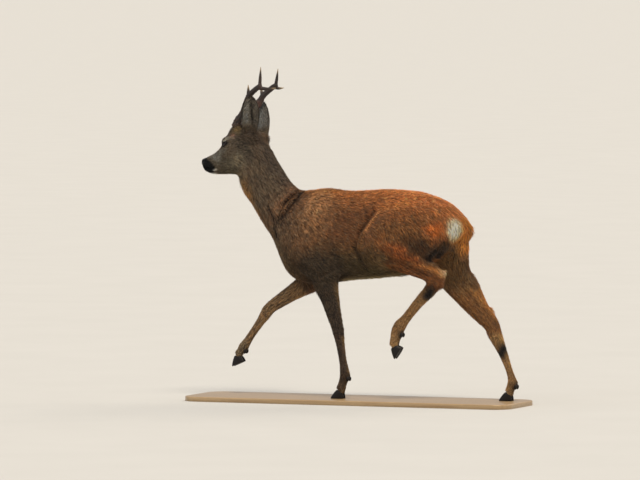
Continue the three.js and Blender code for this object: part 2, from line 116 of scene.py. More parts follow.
def new_material(name):
    """An empty material, its tree, and the socket that gives a point's place on the object in metres."""
    material = bpy.data.materials.new(name)
    material.use_nodes = True
    material.node_tree.nodes.clear()
    return material, material.node_tree, add_node(material.node_tree, "TexCoord").outputs["Object"]


def finish_surface(tree, **inputs):
    """The one shader of a material, plugged into its output."""
    shader = add_node(tree, "BsdfPrincipled", **inputs)
    add_node(tree, "OutputMaterial", Surface=shader.outputs[0])


# %% Meshes from arrays
def build(name, points, faces, material):
    """Points in millimetres above the board and faces of three or four corners become an object in
    metres, whose place is in its mesh."""
    points = np.asarray(points, float).reshape(-1, 3)
    mesh = bpy.data.meshes.new(name)
    sizes = [np.shape(part)[1] for part in faces]
    counts = [len(part) for part in faces]
    corners = np.concatenate([np.ravel(part) for part in faces]).astype(np.int32)
    totals = np.repeat(sizes, counts)
    mesh.vertices.add(len(points))
    mesh.vertices.foreach_set("co", ((points + [0, 0, BOARD_TOP]) / 1000).astype(np.float32).ravel())
    mesh.loops.add(len(corners))
    mesh.loops.foreach_set("vertex_index", corners)
    mesh.polygons.add(len(totals))
    mesh.polygons.foreach_set("loop_start", (np.cumsum(totals) - totals).astype(np.int32))
    mesh.polygons.foreach_set("use_smooth", np.ones(len(totals), bool))
    mesh.update(calc_edges=True)
    mesh.materials.append(material)
    piece = bpy.data.objects.new(name, mesh)
    bpy.context.scene.collection.objects.link(piece)
    return piece


def dress(piece, slot, *replaced):
    """Rides a finished piece on the body, hides the CAD nodes it stands for and prints its triangles. The
    slot is not used.
    """
    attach(piece, "root")
    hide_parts(*replaced)
    print(f"{piece.name}: {len(piece.data.loops) - 2 * len(piece.data.polygons)} triangles")


def keep_value(piece, name, values, kind="FLOAT_COLOR"):
    """Stores one value for every point, which a material reads by name."""
    layer = piece.data.attributes.new(name, kind, "POINT")
    if kind == "FLOAT_COLOR":
        values = np.column_stack([values, np.ones(len(values))])
    layer.data.foreach_set("color" if kind == "FLOAT_COLOR" else "value", values.astype(np.float32).ravel())


def net(rows, columns):
    """The quads of a grid of points, row by row, closed round its columns."""
    r, c = np.meshgrid(np.arange(rows - 1), np.arange(columns), indexing="ij")
    here, there = r * columns + c, r * columns + (c + 1) % columns
    return np.stack([here, there, there + columns, here + columns], -1).reshape(-1, 4)


def gathered(grids):
    """Several grids of points as one array of points and one of quads."""
    points = np.concatenate([grid.reshape(-1, 3) for grid in grids])
    starts = np.cumsum([0] + [grid.shape[0] * grid.shape[1] for grid in grids[:-1]])
    quads = [net(*grid.shape[:2]) + start for grid, start in zip(grids, starts)]
    return points, np.concatenate(quads)


def halved(quads):
    """Each quad cut from its first corner to its third, as two triangles."""
    return np.concatenate([quads[:, [0, 1, 2]], quads[:, [0, 2, 3]]])


def outward(points, faces, middle=None):
    """Turns faces round if they face a middle, or the mean of their first corners. The test is the sum
    of each face's normal times its arrow from the middle, which is above 0 where they face out."""
    a, b, c = (points[faces[:, k]] for k in range(3))
    arrow = a - (a.mean(0) if middle is None else middle)
    return faces[:, ::-1] if (np.cross(b - a, c - a) * arrow).sum() < 0 else faces


# %% [markdown]
# ## The carved body, as tables
#
# The skin has to follow the same body as the CAD solids, which are a few rows of numbers: cross-sections
# from the nose to the rump, and for each limb its joints and how far the flesh reaches in front of the
# bone and behind it. The same rows are used again here, only drawn through with many more points, so the
# skin fits the solids without any measuring.

# %% Cross-sections from nose to rump
# Where each meets the back (x, z) and the throat and belly (x, z), half its width, how far up it is
# widest, and the shape of its upper and lower half (1 is an ellipse, more is ridged, less is boxy).
NOSE_TO_RUMP = np.array([
    [-556, 788, -558, 758, 12, .5, .9, .9], [-538, 797, -547, 745, 19, .5, .9, .9],
    [-517, 808, -523, 736, 21, .5, .95, .9], [-501, 821, -498, 735, 24, .5, 1, 1],
    [-487, 837, -473, 735, 32, .6, 1, 1.2], [-473, 854, -453, 735, 40, .65, .9, 1.3],
    [-453, 875, -437, 735, 43, .65, .9, 1.2], [-430, 889, -428, 727, 42, .6, .95, 1.1],
    [-401, 897, -419, 703, 41, .55, 1, 1], [-364, 886, -406, 671, 41, .5, 1, 1],
    [-331, 855, -387, 646, 42, .5, 1, 1], [-304, 812, -365, 613, 44, .5, 1.1, 1],
    [-274, 764, -340, 574, 47, .5, 1.1, 1], [-243, 719, -315, 540, 52, .5, 1.15, 1],
    [-208, 692, -295, 509, 61, .48, 1.2, 1], [-175, 691, -279, 472, 68, .45, 1.25, 1],
    [-143, 695, -262, 434, 72, .45, 1.3, 1], [-115, 699, -232, 398, 75, .45, 1.3, 1],
    [-82, 698, -175, 379, 77, .45, 1.25, 1], [-47, 692, -90, 381, 80, .45, 1.2, 1],
    [-4, 690, -18, 391, 84, .45, 1.1, 1], [50, 693, 50, 397, 87, .45, 1.05, 1],
    [107, 696, 115, 404, 88, .48, 1, 1], [168, 694, 168, 415, 87, .5, 1, 1],
    [222, 688, 218, 432, 86, .55, .95, 1], [272, 675, 265, 456, 85, .55, .95, 1],
    [315, 657, 304, 480, 81, .55, .95, 1], [350, 632, 337, 496, 73, .5, .95, 1],
    [377, 605, 360, 511, 61, .5, .95, 1], [395, 580, 380, 527, 43, .5, .95, 1],
])

# %% Limbs
# Each row: which bone, the share of the way down it, the reach of the flesh before and behind the bone,
# and half its width. Bone 0 is the shoulder blade or the thigh.
SHOULDER = [[0, 0, 24, 30, 15], [0, .25, 40, 52, 22], [0, .6, 46, 70, 27], [0, 1, 42, 70, 28]]
UPPER_ARM = [[1, -.1, 46, 62, 28], [1, .45, 50, 70, 31], [1, .8, 46, 60, 30]]
FOREARM_STANDING = [[2, 0, 56, 50, 28], [2, .25, 51, 33, 25], [2, .47, 37, 28, 21], [2, .73, 29, 24, 18],
                    [2, .94, 22, 22, 17]]
FOREARM_SWINGING = [[2, 0, 36, 40, 28], [2, .25, 32, 32, 25], [2, .47, 27, 27, 21], [2, .73, 23, 24, 18],
                    [2, .94, 19, 22, 17]]
FORE_CANNON = [[3, .06, 19, 22, 17.5], [3, .2, 16, 20, 15], [3, .4, 13, 16, 12], [3, .7, 12, 14, 12],
               [3, .9, 14, 16, 15], [4, .05, 16, 19, 17], [4, .5, 13, 15, 16], [4, .95, 15, 16, 17.5]]
THIGH_FLEXED = [[0, -.28, 34, 60, 26], [0, -.05, 62, 92, 38], [0, .25, 84, 108, 43], [0, .55, 92, 104, 44],
                [0, .8, 86, 84, 40], [0, 1, 64, 60, 34]]
THIGH_STRAIGHT = [[0, -.28, 30, 34, 24], [0, -.05, 62, 76, 36], [0, .25, 80, 84, 42], [0, .55, 66, 78, 43],
                  [0, .8, 54, 74, 39], [0, 1, 46, 62, 34]]
SHANK_FLEXED = [[1, -.08, 44, 42, 28], [1, .15, 42, 55, 31], [1, .4, 33, 61, 27], [1, .62, 25, 62, 22],
                [1, .82, 18, 60, 17], [1, .95, 18, 50, 15], [2, 0, 25, 29, 16], [2, .12, 26, 22, 16],
                [2, .25, 25, 20, 14], [2, .45, 24, 13, 12.5], [2, .75, 23, 10, 12.5], [2, .92, 28, 14, 15]]
SHANK_STRAIGHT = [[1, -.08, 44, 60, 34], [1, .15, 42, 72, 34], [1, .35, 39, 65, 30], [1, .6, 36, 46, 24],
                  [1, .8, 32, 34, 18], [1, .95, 28, 31, 16], [2, .04, 27, 28, 16], [2, .16, 26, 25, 16],
                  [2, .32, 19, 22, 14], [2, .52, 12, 19, 12], [2, .78, 9, 14, 12], [2, .93, 13, 13, 15]]
FOOT_FLEXED = [[3, .1, 25, 18, 16.5], [3, .5, 21, 15, 15], [3, .95, 16, 16, 17]]
FOOT_STRAIGHT = [[3, .1, 18, 18, 16.5], [3, .5, 15, 15, 15], [3, .95, 14, 16, 17]]

# Each limb: its side, its joints in side view (x, z) and their distance from the middle plane, how far
# its hoof points below level, and its rows.
LIMBS = {
    "foreleg_left": (-1, [[-120, 664, 28], [-212, 500, 54], [-90, 412, 60], [-53, 236, 53], [-27, 80, 49],
                          [-43, 29.3, 49]], 0, SHOULDER + UPPER_ARM + FOREARM_STANDING + FORE_CANNON),
    "foreleg_right": (1, [[-130, 664, 28], [-226, 508, 54], [-196, 382, 60], [-340, 291, 53],
                          [-432, 160, 49], [-452, 131, 49]], 24,
                      SHOULDER + UPPER_ARM + FOREARM_SWINGING + FORE_CANNON),
    "hindleg_left": (-1, [[272, 592, 54], [88, 500, 72], [303, 396, 60], [164, 230, 49], [146, 178, 49]],
                     57, THIGH_FLEXED + SHANK_FLEXED + FOOT_FLEXED),
    "hindleg_right": (1, [[272, 590, 54], [300, 402, 72], [450, 250, 60], [531, 62, 49], [516, 29.3, 49]],
                      0, THIGH_STRAIGHT + SHANK_STRAIGHT + FOOT_STRAIGHT),
}


def limb_joints(name):
    """A limb's joints as points (x, y, z)."""
    side, joints = LIMBS[name][:2]
    return np.array([[x, side * y, z] for x, z, y in joints], float)


# %% Surfaces through the tables
def row_at(rows, s):
    """Catmull-Rom interpolation of every column of a table at the row numbers s, whole or not."""
    i = np.minimum(np.floor(s).astype(int), len(rows) - 2)
    t = (s - i)[:, None]
    a, b, c, d = (rows[np.clip(i + k, 0, len(rows) - 1)] for k in (-1, 0, 1, 2))
    return b + 0.5 * t * (c - a + t * (2 * a - 5 * b + 4 * c - d + t * (3 * (b - c) + d - a)))


def unit(vectors):
    """Vectors at length one."""
    return vectors / np.maximum(np.linalg.norm(vectors, axis=-1, keepdims=True), 1e-9)


def rearward(down):
    """Square to the direction down a limb, towards its rear, in side view."""
    return np.array([-down[2], 0, down[0]])


CAP = np.linspace(1, 0, 7)[:-1]  # rings of the round cap at each end of a surface


def flesh(rows, around, per_row, front_cap, rear_cap):
    """A closed surface through sections. Round a section the point goes up by the cosine of its angle
    and out by its sine to the section's power. Past each end the section shrinks by a quarter of a
    cosine wave while the surface moves on by a quarter of a sine wave, which makes a round cap."""
    last = len(rows) - 1
    along = np.concatenate([-CAP, np.linspace(0, last, last * per_row + 1), last + CAP[::-1]])
    beyond = np.maximum(np.maximum(-along, along - last), 0)[:, None]
    section = row_at(rows, np.clip(along, 0, last))
    top, low = section[:, None, 0:2], section[:, None, 2:4]
    half, widest, upper, lower, y = section[:, 4:9].T[..., None]
    angle = np.linspace(0, 2 * np.pi, around, endpoint=False)[None]
    up, out = np.cos(angle), np.sin(angle)
    share = np.where(up > 0, widest + (1 - widest) * up, widest + widest * up)
    bulge = np.sign(out) * np.abs(out) ** np.where(up > 0, upper, lower)
    shrink = np.cos(beyond * np.pi / 2)
    height = widest + (share - widest) * shrink
    middle = (rows[:, 0:2] + rows[:, 2:4]) / 2
    way = np.where(along[:, None] < last / 2, unit(middle[0] - middle[1]) * front_cap,
                   unit(middle[-1] - middle[-2]) * rear_cap) * np.sin(beyond * np.pi / 2)
    side_view = low + (top - low) * height[..., None] + way[:, None]
    return np.stack([side_view[..., 0], y + half * bulge * shrink, side_view[..., 1]], -1)


def limb_flesh(name):
    """A limb's two surfaces, the broad shoulder or thigh and the slender rest."""
    side, joints, _, rows = LIMBS[name]
    joints, rows = np.array(joints, float), np.array(rows, float)
    shells = []
    for part, power, ends in ((rows[rows[:, 0] == 0], 0.75, (14, 22)), (rows[rows[:, 0] > 0], 1, (10, 4))):
        bone = part[:, 0].astype(int)
        centre = joints[bone] + part[:, 1:2] * (joints[bone + 1] - joints[bone])
        ahead = np.roll(centre, -1, 0) - np.roll(centre, 1, 0)
        ahead[0], ahead[-1] = centre[1] - centre[0], centre[-1] - centre[-2]
        down = unit(ahead[:, :2])
        front = np.column_stack([down[:, 1], -down[:, 0]])
        fore, rear = part[:, 2:3], part[:, 3:4]
        power = np.full(len(part), power)
        table = np.column_stack([centre[:, :2] + front * fore, centre[:, :2] - front * rear, part[:, 4],
                                 rear / (fore + rear), power, power, side * centre[:, 2]])
        shells.append(flesh(table, 48, 10, *ends))
    return shells


def horn(points, around=24, per_point=8):
    """A round tube along points (x, y, z, radius) with a round cap at each end."""
    points = np.array(points, float)
    last = len(points) - 1
    along = np.concatenate([-CAP, np.linspace(0, last, last * per_point + 1), last + CAP[::-1]])
    beyond = np.maximum(-along, 0) - np.maximum(along - last, 0)
    line = row_at(points, np.clip(along, 0, last))
    ahead = unit(row_at(points, np.clip(along + 0.05, 0.05, last))[:, :3]
                 - row_at(points, np.clip(along - 0.05, 0, last - 0.05))[:, :3])
    across = unit(np.cross([0.0, 1.0, 0.0], ahead))
    over = np.cross(ahead, across)
    angle = np.linspace(0, 2 * np.pi, around, endpoint=False)
    ring = across[:, None] * np.cos(angle)[None, :, None] + over[:, None] * np.sin(angle)[None, :, None]
    radius = (line[:, 3] * np.cos(beyond * np.pi / 2))[:, None, None]
    centre = line[:, :3] - ahead * (line[:, 3] * np.sin(beyond * np.pi / 2))[:, None]
    return centre[:, None] + ring * radius


def sphere(turn, around):
    """A sphere of radius one: at each turn from its pole, a ring of the turn's sine at its cosine."""
    turn = turn[:, None]
    angle = np.linspace(0, 2 * np.pi, around, endpoint=False)[None]
    rings = [np.sin(turn) * np.cos(angle), np.sin(turn) * np.sin(angle), np.cos(turn) + 0 * angle]
    return np.stack(rings, -1)


def ball(centre, radii, around=32):
    """A sphere drawn out along x, y and z."""
    return np.array(centre) + sphere(np.linspace(0, np.pi, around // 2 + 1), around) * np.array(radii)


# %% [markdown]
# ## One skin
#
# The real animal has no seams, so the trunk, limbs, brows and tail can't stay separate surfaces. They
# could be sewn together by hand, but where a thigh sinks into a flank there is no clean line to sew
# along. A voxel remesh is better: it fills all the surfaces with small cubes and draws one new skin
# round them. Relaxing it then melts the creases where two surfaces met, as wet clay is smoothed with a
# thumb, most on the trunk and hardly at all on the thin legs.

# %% Join the surfaces into one skin
SKIN_CELL = 4.6  # millimetres, the size of the cubes
EYE = np.array([-460.5, 32.0, 837.5])
EYE_RADIUS = 12.6
EARS = {"left": ([-373, 38, 880], [-345, 92, 1001], [.1, .99, 0]),
        "right": ([-357, 38, 866], [-397, 92, 987], [.05, .99, 0])}
SIDES = {"left": -1, "right": 1}
HEELS = {"hindleg_left": (48, 1), "hindleg_right": (52, 16)}  # how far up and back each heel bone stands


def heel(name):
    """The bone that stands up behind a hock: a tube from the joint, up along the line of the cannon bone."""
    joints = limb_joints(name)
    up, back = HEELS[name]
    down = unit(joints[3] - joints[2]) * [1, 0, 1]
    steps = np.array([[0, 19], [.5, 16], [.85, 12.5], [1, 8]])  # share of the way, radius
    middle = joints[2] + steps[:, :1] * (back * rearward(down) - up * down)
    return horn(np.column_stack([middle, steps[:, 1]]))


def voxel_skin(grids, cell):
    """One skin round several closed surfaces: its points, its quads and its edges."""
    points, quads = gathered(grids)
    mesh = bpy.data.meshes.new("carving")
    mesh.from_pydata(points, [], quads)
    carving = bpy.data.objects.new("carving", mesh)
    bpy.context.scene.collection.objects.link(carving)
    remesh = carving.modifiers.new("skin", "REMESH")
    remesh.mode, remesh.voxel_size = "VOXEL", cell
    done = carving.evaluated_get(bpy.context.evaluated_depsgraph_get()).to_mesh()
    co, corners = np.zeros(len(done.vertices) * 3), np.zeros(len(done.loops), int)
    edges = np.zeros(len(done.edges) * 2, int)
    done.vertices.foreach_get("co", co)
    done.loops.foreach_get("vertex_index", corners)
    done.edges.foreach_get("vertices", edges)
    carving.to_mesh_clear()
    bpy.data.objects.remove(carving)
    bpy.data.meshes.remove(mesh)
    return co.reshape(-1, 3), corners.reshape(-1, 4), edges.reshape(-1, 2)


shells = [flesh(np.column_stack([NOSE_TO_RUMP, np.zeros(len(NOSE_TO_RUMP))]), 96, 8, 4, 8),
          ball((397, 0, 561), (14, 18, 27)), ball((370, 0, 508), (24, 29, 46)),  # tail, flesh under it
          ball((-553, 0, 779), (12.5, 13.5, 12.5)), ball((-549, 0, 763), (12, 14, 11)),  # nose pad, lip
          ball((-535, 0, 751), (16, 14, 11)), ball((148, 0, 414), (26, 9, 12))]  # chin, sheath
for limb in LIMBS:
    shells += limb_flesh(limb)
    fetlock, crown = limb_joints(limb)[-2:]
    down = unit(crown - fetlock)
    for which in (-1, 1):  # the bulbs of the feet, behind the claws
        shells.append(ball(crown + down * 3 + rearward(down) * 7 + [0, 7.5 * which, 0], (9, 7.5, 11)))
shells += [heel(name) for name in HEELS]
for side_name, side in SIDES.items():  # brows, forehead, roots of the ears, pedicles under the antlers
    (ear_x, ear_y, ear_z) = EARS[side_name][0]
    shells.append(ball((EYE[0], side * (EYE[1] - 5), EYE[2] + 9), (20, 16, 18)))
    shells.append(ball((ear_x + 3, side * (ear_y - 10), ear_z - 8), (30, 17, 24)))
    mirror = [1, side, 1, 1]
    shells.append(horn(np.array([[-448, 24, 858, 17], [-439, 25, 874, 18], [-430, 27, 892, 15]]) * mirror))
    shells.append(horn(np.array([[-412, 20, 862, 20], [-419, 25, 886, 17], [-423, 27, 901, 15.5]]) * mirror))
skin_points, skin_quads, skin_edges = voxel_skin(shells, SKIN_CELL)
print("skin:", len(skin_points), "points")


# %% Relax it, and find which way it faces
def relaxed(points, edges, rounds, share):
    """Moves every point part of the way to the mean of its neighbours, several times over."""
    count = np.maximum(np.bincount(edges.ravel(), minlength=len(points)), 1)[:, None]
    one, other = edges.T
    for _ in range(rounds):
        total = np.column_stack([np.bincount(one, points[other, k], len(points))
                                 + np.bincount(other, points[one, k], len(points)) for k in range(3)])
        points = points + share * (total / count - points)
    return points


def edges_of(triangles, count):
    """Every edge of some triangles once, as pairs of points."""
    pairs = np.sort(np.concatenate([triangles[:, [0, 1]], triangles[:, [1, 2]], triangles[:, [2, 0]]]), 1)
    keys = np.unique(pairs[:, 0] * count + pairs[:, 1])
    return np.column_stack([keys // count, keys % count])


def facing(points, triangles):
    """The way each point faces: the sum of its triangles' normals, larger triangles counting more."""
    a, b, c = (points[triangles[:, k]] for k in range(3))
    cross = np.cross(b - a, c - a)
    total = np.column_stack([sum(np.bincount(triangles[:, k], cross[:, axis], len(points)) for k in range(3))
                             for axis in range(3)])
    return unit(total)


def smooth_step(low, high, value):
    """0 up to low, 1 from high on, and an S-shaped rise between. Low may be the larger: then it falls."""
    t = np.clip((value - low) / (high - low), 0, 1)
    return t * t * (3 - 2 * t)


def trunk_share(points):
    """1 on the trunk, 0 on the legs, by height."""
    return smooth_step(330, 470, points[:, 2])


melt = trunk_share(skin_points) * (1 - 0.8 * smooth_step(-375, -420, skin_points[:, 0]))  # less on the head
skin_points = relaxed(skin_points, skin_edges, 3, 0.5)
skin_points = relaxed(skin_points, skin_edges, 34, 0.5 * melt[:, None])
triangles = halved(skin_quads)
print("relaxed; it reaches from", skin_points.min(0).round(), "to", skin_points.max(0).round())


# %% [markdown]
# ## Finer where the eye looks
#
# Cubes of 4.6 mm are fine for a flank but not for a nostril. Rather than a finer skin all over, which
# would cost hundreds of thousands of triangles, those of the head and of the folds at the root of the
# neck are each split in four, and those round the eyes, nose and mouth once more. An edge is split where
# both its ends are in the region, so a triangle on the border has one split edge and becomes two, and no
# gap can open.

# %% Split the triangles of a region
def refined(points, triangles, wanted):
    """Puts a point in the middle of each edge whose two ends are wanted, and splits the triangles."""
    count = len(points)
    pairs = np.sort(np.concatenate([triangles[:, [0, 1]], triangles[:, [1, 2]], triangles[:, [2, 0]]]), 1)
    keys, which = np.unique(pairs[:, 0] * count + pairs[:, 1], return_inverse=True)
    ends = np.column_stack([keys // count, keys % count])
    cut = wanted[ends].all(1)
    number = np.where(cut, np.cumsum(cut) - 1 + count, -1)
    middle = number[which].reshape(3, -1).T
    points = np.concatenate([points, points[ends[cut]].mean(1)])
    cuts = (middle >= 0).sum(1)
    whole = triangles[cuts == 0]
    t, m = triangles[cuts == 3], middle[cuts == 3]
    quarters = [np.column_stack([t[:, k], m[:, k], m[:, (k + 2) % 3]]) for k in range(3)] + [m]
    halves = []
    for k in range(3):
        pick = (cuts == 1) & (middle[:, k] >= 0)
        a, b, c = (triangles[pick, (k + n) % 3] for n in range(3))
        m = middle[pick, k]
        halves += [np.column_stack([a, m, c]), np.column_stack([m, b, c])]
    return points, np.concatenate([whole, *quarters, *halves])


def folded(points):
    """Both halves of the animal laid on one: y becomes the distance from the middle plane."""
    return np.column_stack([points[:, 0], np.abs(points[:, 1]), points[:, 2]])


def within(points, centre, radius):
    """Which points are closer than radius to a centre, on either side of the animal."""
    return np.linalg.norm(folded(points) - centre, axis=1) < radius


x, y, z = skin_points.T
folds = (np.abs(x + 250) < 70) & (np.abs(z - 615) < 75) & (np.abs(y) > 22)
skin_points, triangles = refined(skin_points, triangles, (x < -395) & (z > 690) | folds)
fine = within(skin_points, EYE + [0, 4, 0], 24) | ((skin_points[:, 0] < -505) & (skin_points[:, 2] > 700))
skin_points, triangles = refined(skin_points, triangles, fine)
skin_edges = edges_of(triangles, len(skin_points))
head_share = 0.5 * (skin_points[:, :1] < -390) * (skin_points[:, 2:] > 690)
skin_points = relaxed(skin_points, skin_edges, 4, head_share)
if facing(skin_points, triangles)[np.argmax(skin_points[:, 2]), 2] < 0:
    triangles = triangles[:, ::-1]
print("skin:", len(triangles), "triangles")

# %% [markdown]
# ## Which part of the body is this?
#
# A coat is not the same all over: long on the neck, short as velvet on a shin. So each point of the skin
# is told which bones it lies nearest to, counting a thick part's bone as nearer than a thin one's. The
# weights fade smoothly from one bone to the next, and every measure of the coat is the weighted mean of
# what the bones say.

# %% Bones and their coats
# from, to, thickness; then the coat: depth, tuft length and width in millimetres, tufts per square cm.
BODY_BONES = {
    "muzzle": ((-552, 0, 775), (-492, 0, 785), 26, (1.5, 3.8, .85, 42)),
    "head": ((-478, 0, 800), (-415, 0, 815), 46, (2.4, 6.4, 1.05, 34)),
    "neck": ((-390, 0, 785), (-240, 0, 600), 60, (6, 20, 1.9, 16)),
    "chest": ((-200, 0, 560), (-20, 0, 545), 100, (6, 19, 2.0, 13)),
    "loin": ((0, 0, 555), (200, 0, 560), 120, (6, 20, 2.0, 13)),
    "croup": ((220, 0, 570), (375, 0, 560), 85, (6.5, 21, 2.0, 14)),
}
FORELEG_COAT = [(40, (6, 18, 2.0, 13)), (42, (5, 15, 1.9, 14)), (30, (3.2, 11, 1.6, 18)),
                (16, (2, 7.5, 1.4, 24)), (16, (1.8, 6, 1.3, 26))]
HINDLEG_COAT = [(60, (6, 18, 2.0, 13)), (34, (3.8, 13, 1.7, 17)), (16, (2, 7.5, 1.4, 24)),
                (16, (1.8, 6, 1.3, 26))]
EAR_COAT = (30, (1, 5, 1.1, 30))

bones = [(name, *bone) for name, bone in BODY_BONES.items()]
for limb in LIMBS:
    joints = limb_joints(limb)
    coats = FORELEG_COAT if len(joints) == 6 else HINDLEG_COAT
    for number, (thick, coat) in enumerate(coats):
        bones.append((f"{limb} {number}", joints[number], joints[number + 1], thick, coat))
for side_name, side in SIDES.items():
    base, tip, _ = (np.array(point, float) * [1, side, 1] for point in EARS[side_name])
    bones.append((f"ear {side_name}", base + 0.15 * (tip - base), tip, *EAR_COAT))
BONE_NAMES = [bone[0] for bone in bones]
BONE_FROM, BONE_TO = (np.array([bone[k] for bone in bones], float) for k in (1, 2))
BONE_THICK = np.array([bone[3] for bone in bones], float)
BONE_COAT = np.array([bone[4] for bone in bones])
BODY_ONLY = np.array([not name.startswith("ear") for name in BONE_NAMES])


def measured_from_bones(points):
    """For every point and bone: the arrow to the point from the nearest place on the bone, and its
    length over the bone's thickness."""
    axis = BONE_TO - BONE_FROM
    share = np.clip(np.einsum("pbk,bk->pb", points[:, None] - BONE_FROM, axis) / (axis ** 2).sum(1), 0, 1)
    arrow = points[:, None] - BONE_FROM - share[..., None] * axis
    return arrow, np.linalg.norm(arrow, axis=2) / BONE_THICK


def bone_weights(nearness):
    """How much each bone counts at each point: its nearness to the power of minus five, as shares of
    one. An ear's bone doesn't count, since an ear has a coat of its own."""
    weight = (nearness + 0.05) ** -5.0 * BODY_ONLY
    return weight / weight.sum(1, keepdims=True)


weight = bone_weights(measured_from_bones(skin_points)[1])
print("bones:", len(bones), "nearest bone counts:", np.bincount(weight.argmax(1)))

# %% [markdown]
# ## Muscles, folds and features
#
# Seen close, a deer's side is not a smooth barrel. The shoulder blade's spine, the muscle behind it, the
# ribs, the fold of skin in front of the thigh and the hollow beside the hamstring tendon all break the
# light. A sculptor presses these in after the big shape stands. Each is given here as a stroke of a tool:
# a line in side view, a width, and how far it lifts the skin (or, below zero, presses it in). The lift
# fades with the distance from the line as a bell curve does, and only the side that faces out gets it.

# %% Strokes on the sides of the body
# which side (0 is both), x and z of one end, x and z of the other, width, lift
SIDE_STROKES = [
    (0, -122, 662, -196, 540, 13, 2.4),  # spine of the shoulder blade
    (0, -158, 668, -232, 560, 12, -2.2), (0, -82, 655, -96, 560, 24, -2.6),  # hollows beside it
    (0, -215, 498, -205, 480, 24, 3.5),  # point of the shoulder
    (0, -140, 505, -95, 450, 36, 4.0),  # triceps
    (0, -75, 520, -48, 455, 16, -3.2), (-1, -105, 408, -40, 436, 10, -3.5),  # behind the arm
    (0, -190, 440, -120, 418, 12, -2.5),  # under the arm
    (0, -20, 640, 25, 450, 8, .9), (0, 10, 645, 55, 448, 8, .9), (0, 40, 648, 85, 455, 8, .9),
    (0, 70, 646, 115, 470, 8, .8), (0, 100, 640, 140, 490, 8, .6),  # ribs
    (0, 205, 676, 222, 668, 16, 3.0), (0, 150, 640, 195, 615, 26, -3.0),  # hip and the hollow before it
    (-1, 84, 628, 40, 562, 8, -3.2), (-1, 40, 562, 20, 505, 9, -3.6), (-1, 20, 505, 48, 446, 10, -3.0),
    (-1, 98, 620, 54, 556, 7, 2.6), (-1, 54, 556, 36, 500, 9, 2.6),  # fold of the flank, left
    (1, 205, 600, 214, 520, 10, -2.6), (1, 214, 520, 232, 452, 10, -2.6),  # and right
    (-1, 300, 590, 190, 500, 16, -1.6), (-1, 225, 470, 165, 440, 12, -1.6),  # parts of the left thigh
    (1, 330, 560, 340, 430, 14, -2.0), (1, 290, 470, 330, 380, 12, -1.6),  # and of the right
    (-1, 150, 470, 275, 412, 8, -3.4), (-1, 130, 520, 340, 432, 9, 1.8),  # beside the left hamstring
    (-1, 330, 530, 280, 470, 14, -5.0), (0, -250, 640, -200, 520, 20, 1.6),  # behind the thigh; breast
    (1, 345, 392, 440, 272, 8, -3.2),  # beside the right hamstring
    (0, -398, 712, -285, 530, 13, -2.4),  # groove of the jugular vein
    (0, -340, 800, -262, 655, 16, 1.6),  # muscle along the neck
    (-1, -192, 686, -250, 596, 4.6, -4.6), (-1, -197, 692, -250, 612, 5, 2.4),  # folds at the neck's root
    (-1, -212, 680, -245, 648, 4.2, -3.6), (-1, -245, 648, -268, 584, 4.2, -4.0),
    (-1, -222, 690, -262, 640, 6, 2.2), (-1, -306, 638, -284, 598, 4.2, -3.8),
    (-1, -284, 598, -275, 533, 4.2, -3.2), (-1, -295, 640, -272, 590, 5, 1.8),
    (1, -226, 690, -262, 600, 4.2, -3.0), (1, -262, 640, -284, 560, 4.0, -2.6),
]
PRESSURE = 1.7  # how much more than the table says, as the skin's net softens each stroke


def segment_distance(points, one, other):
    """The distance from each point to the line between two points, in the plane or in space."""
    one, other = np.array(one, float), np.array(other, float)
    along = np.clip((points - one) @ (other - one) / max(((other - one) ** 2).sum(), 1e-9), 0, 1)
    return np.linalg.norm(points - one - along[:, None] * (other - one), axis=1)


def bell(distance, width):
    """1 at no distance, falling as a bell curve."""
    return np.exp(-(distance / width) ** 2)


faces_out = facing(skin_points, triangles)
lift = np.zeros(len(skin_points))
side_view = skin_points[:, [0, 2]]
outer = np.sign(skin_points[:, 1])
for which, x1, z1, x2, z2, width, height in SIDE_STROKES:
    shows = smooth_step(0.1, 0.6, faces_out[:, 1] * outer) * (outer * which >= 0)
    lift += PRESSURE * shows * height * bell(segment_distance(side_view, (x1, z1), (x2, z2)), width)

# Tendons of the cannon bones: a groove along each side of every shin, behind the middle.
for limb in LIMBS:
    joints = limb_joints(limb)
    cannon = 3 if len(joints) == 6 else 2
    top, foot = joints[cannon], joints[cannon + 1]
    behind = unit(rearward(foot - top))
    groove = segment_distance(side_view, (top + 0.15 * (foot - top) + 5 * behind)[[0, 2]],
                              (top + 0.85 * (foot - top) + 4 * behind)[[0, 2]])
    same_side = skin_points[:, 1] * LIMBS[limb][0] > 20
    lift -= same_side * 1.4 * bell(groove, 4.5) * smooth_step(0.2, 0.8, np.abs(faces_out[:, 1]))

# %% [markdown]
# The head is worked in space, on both halves at once. Its strokes are the ridge over the eye, the cheek
# bone, the jaw, the long furrow of the scent gland before the eye, the wings of the nose and the lips.

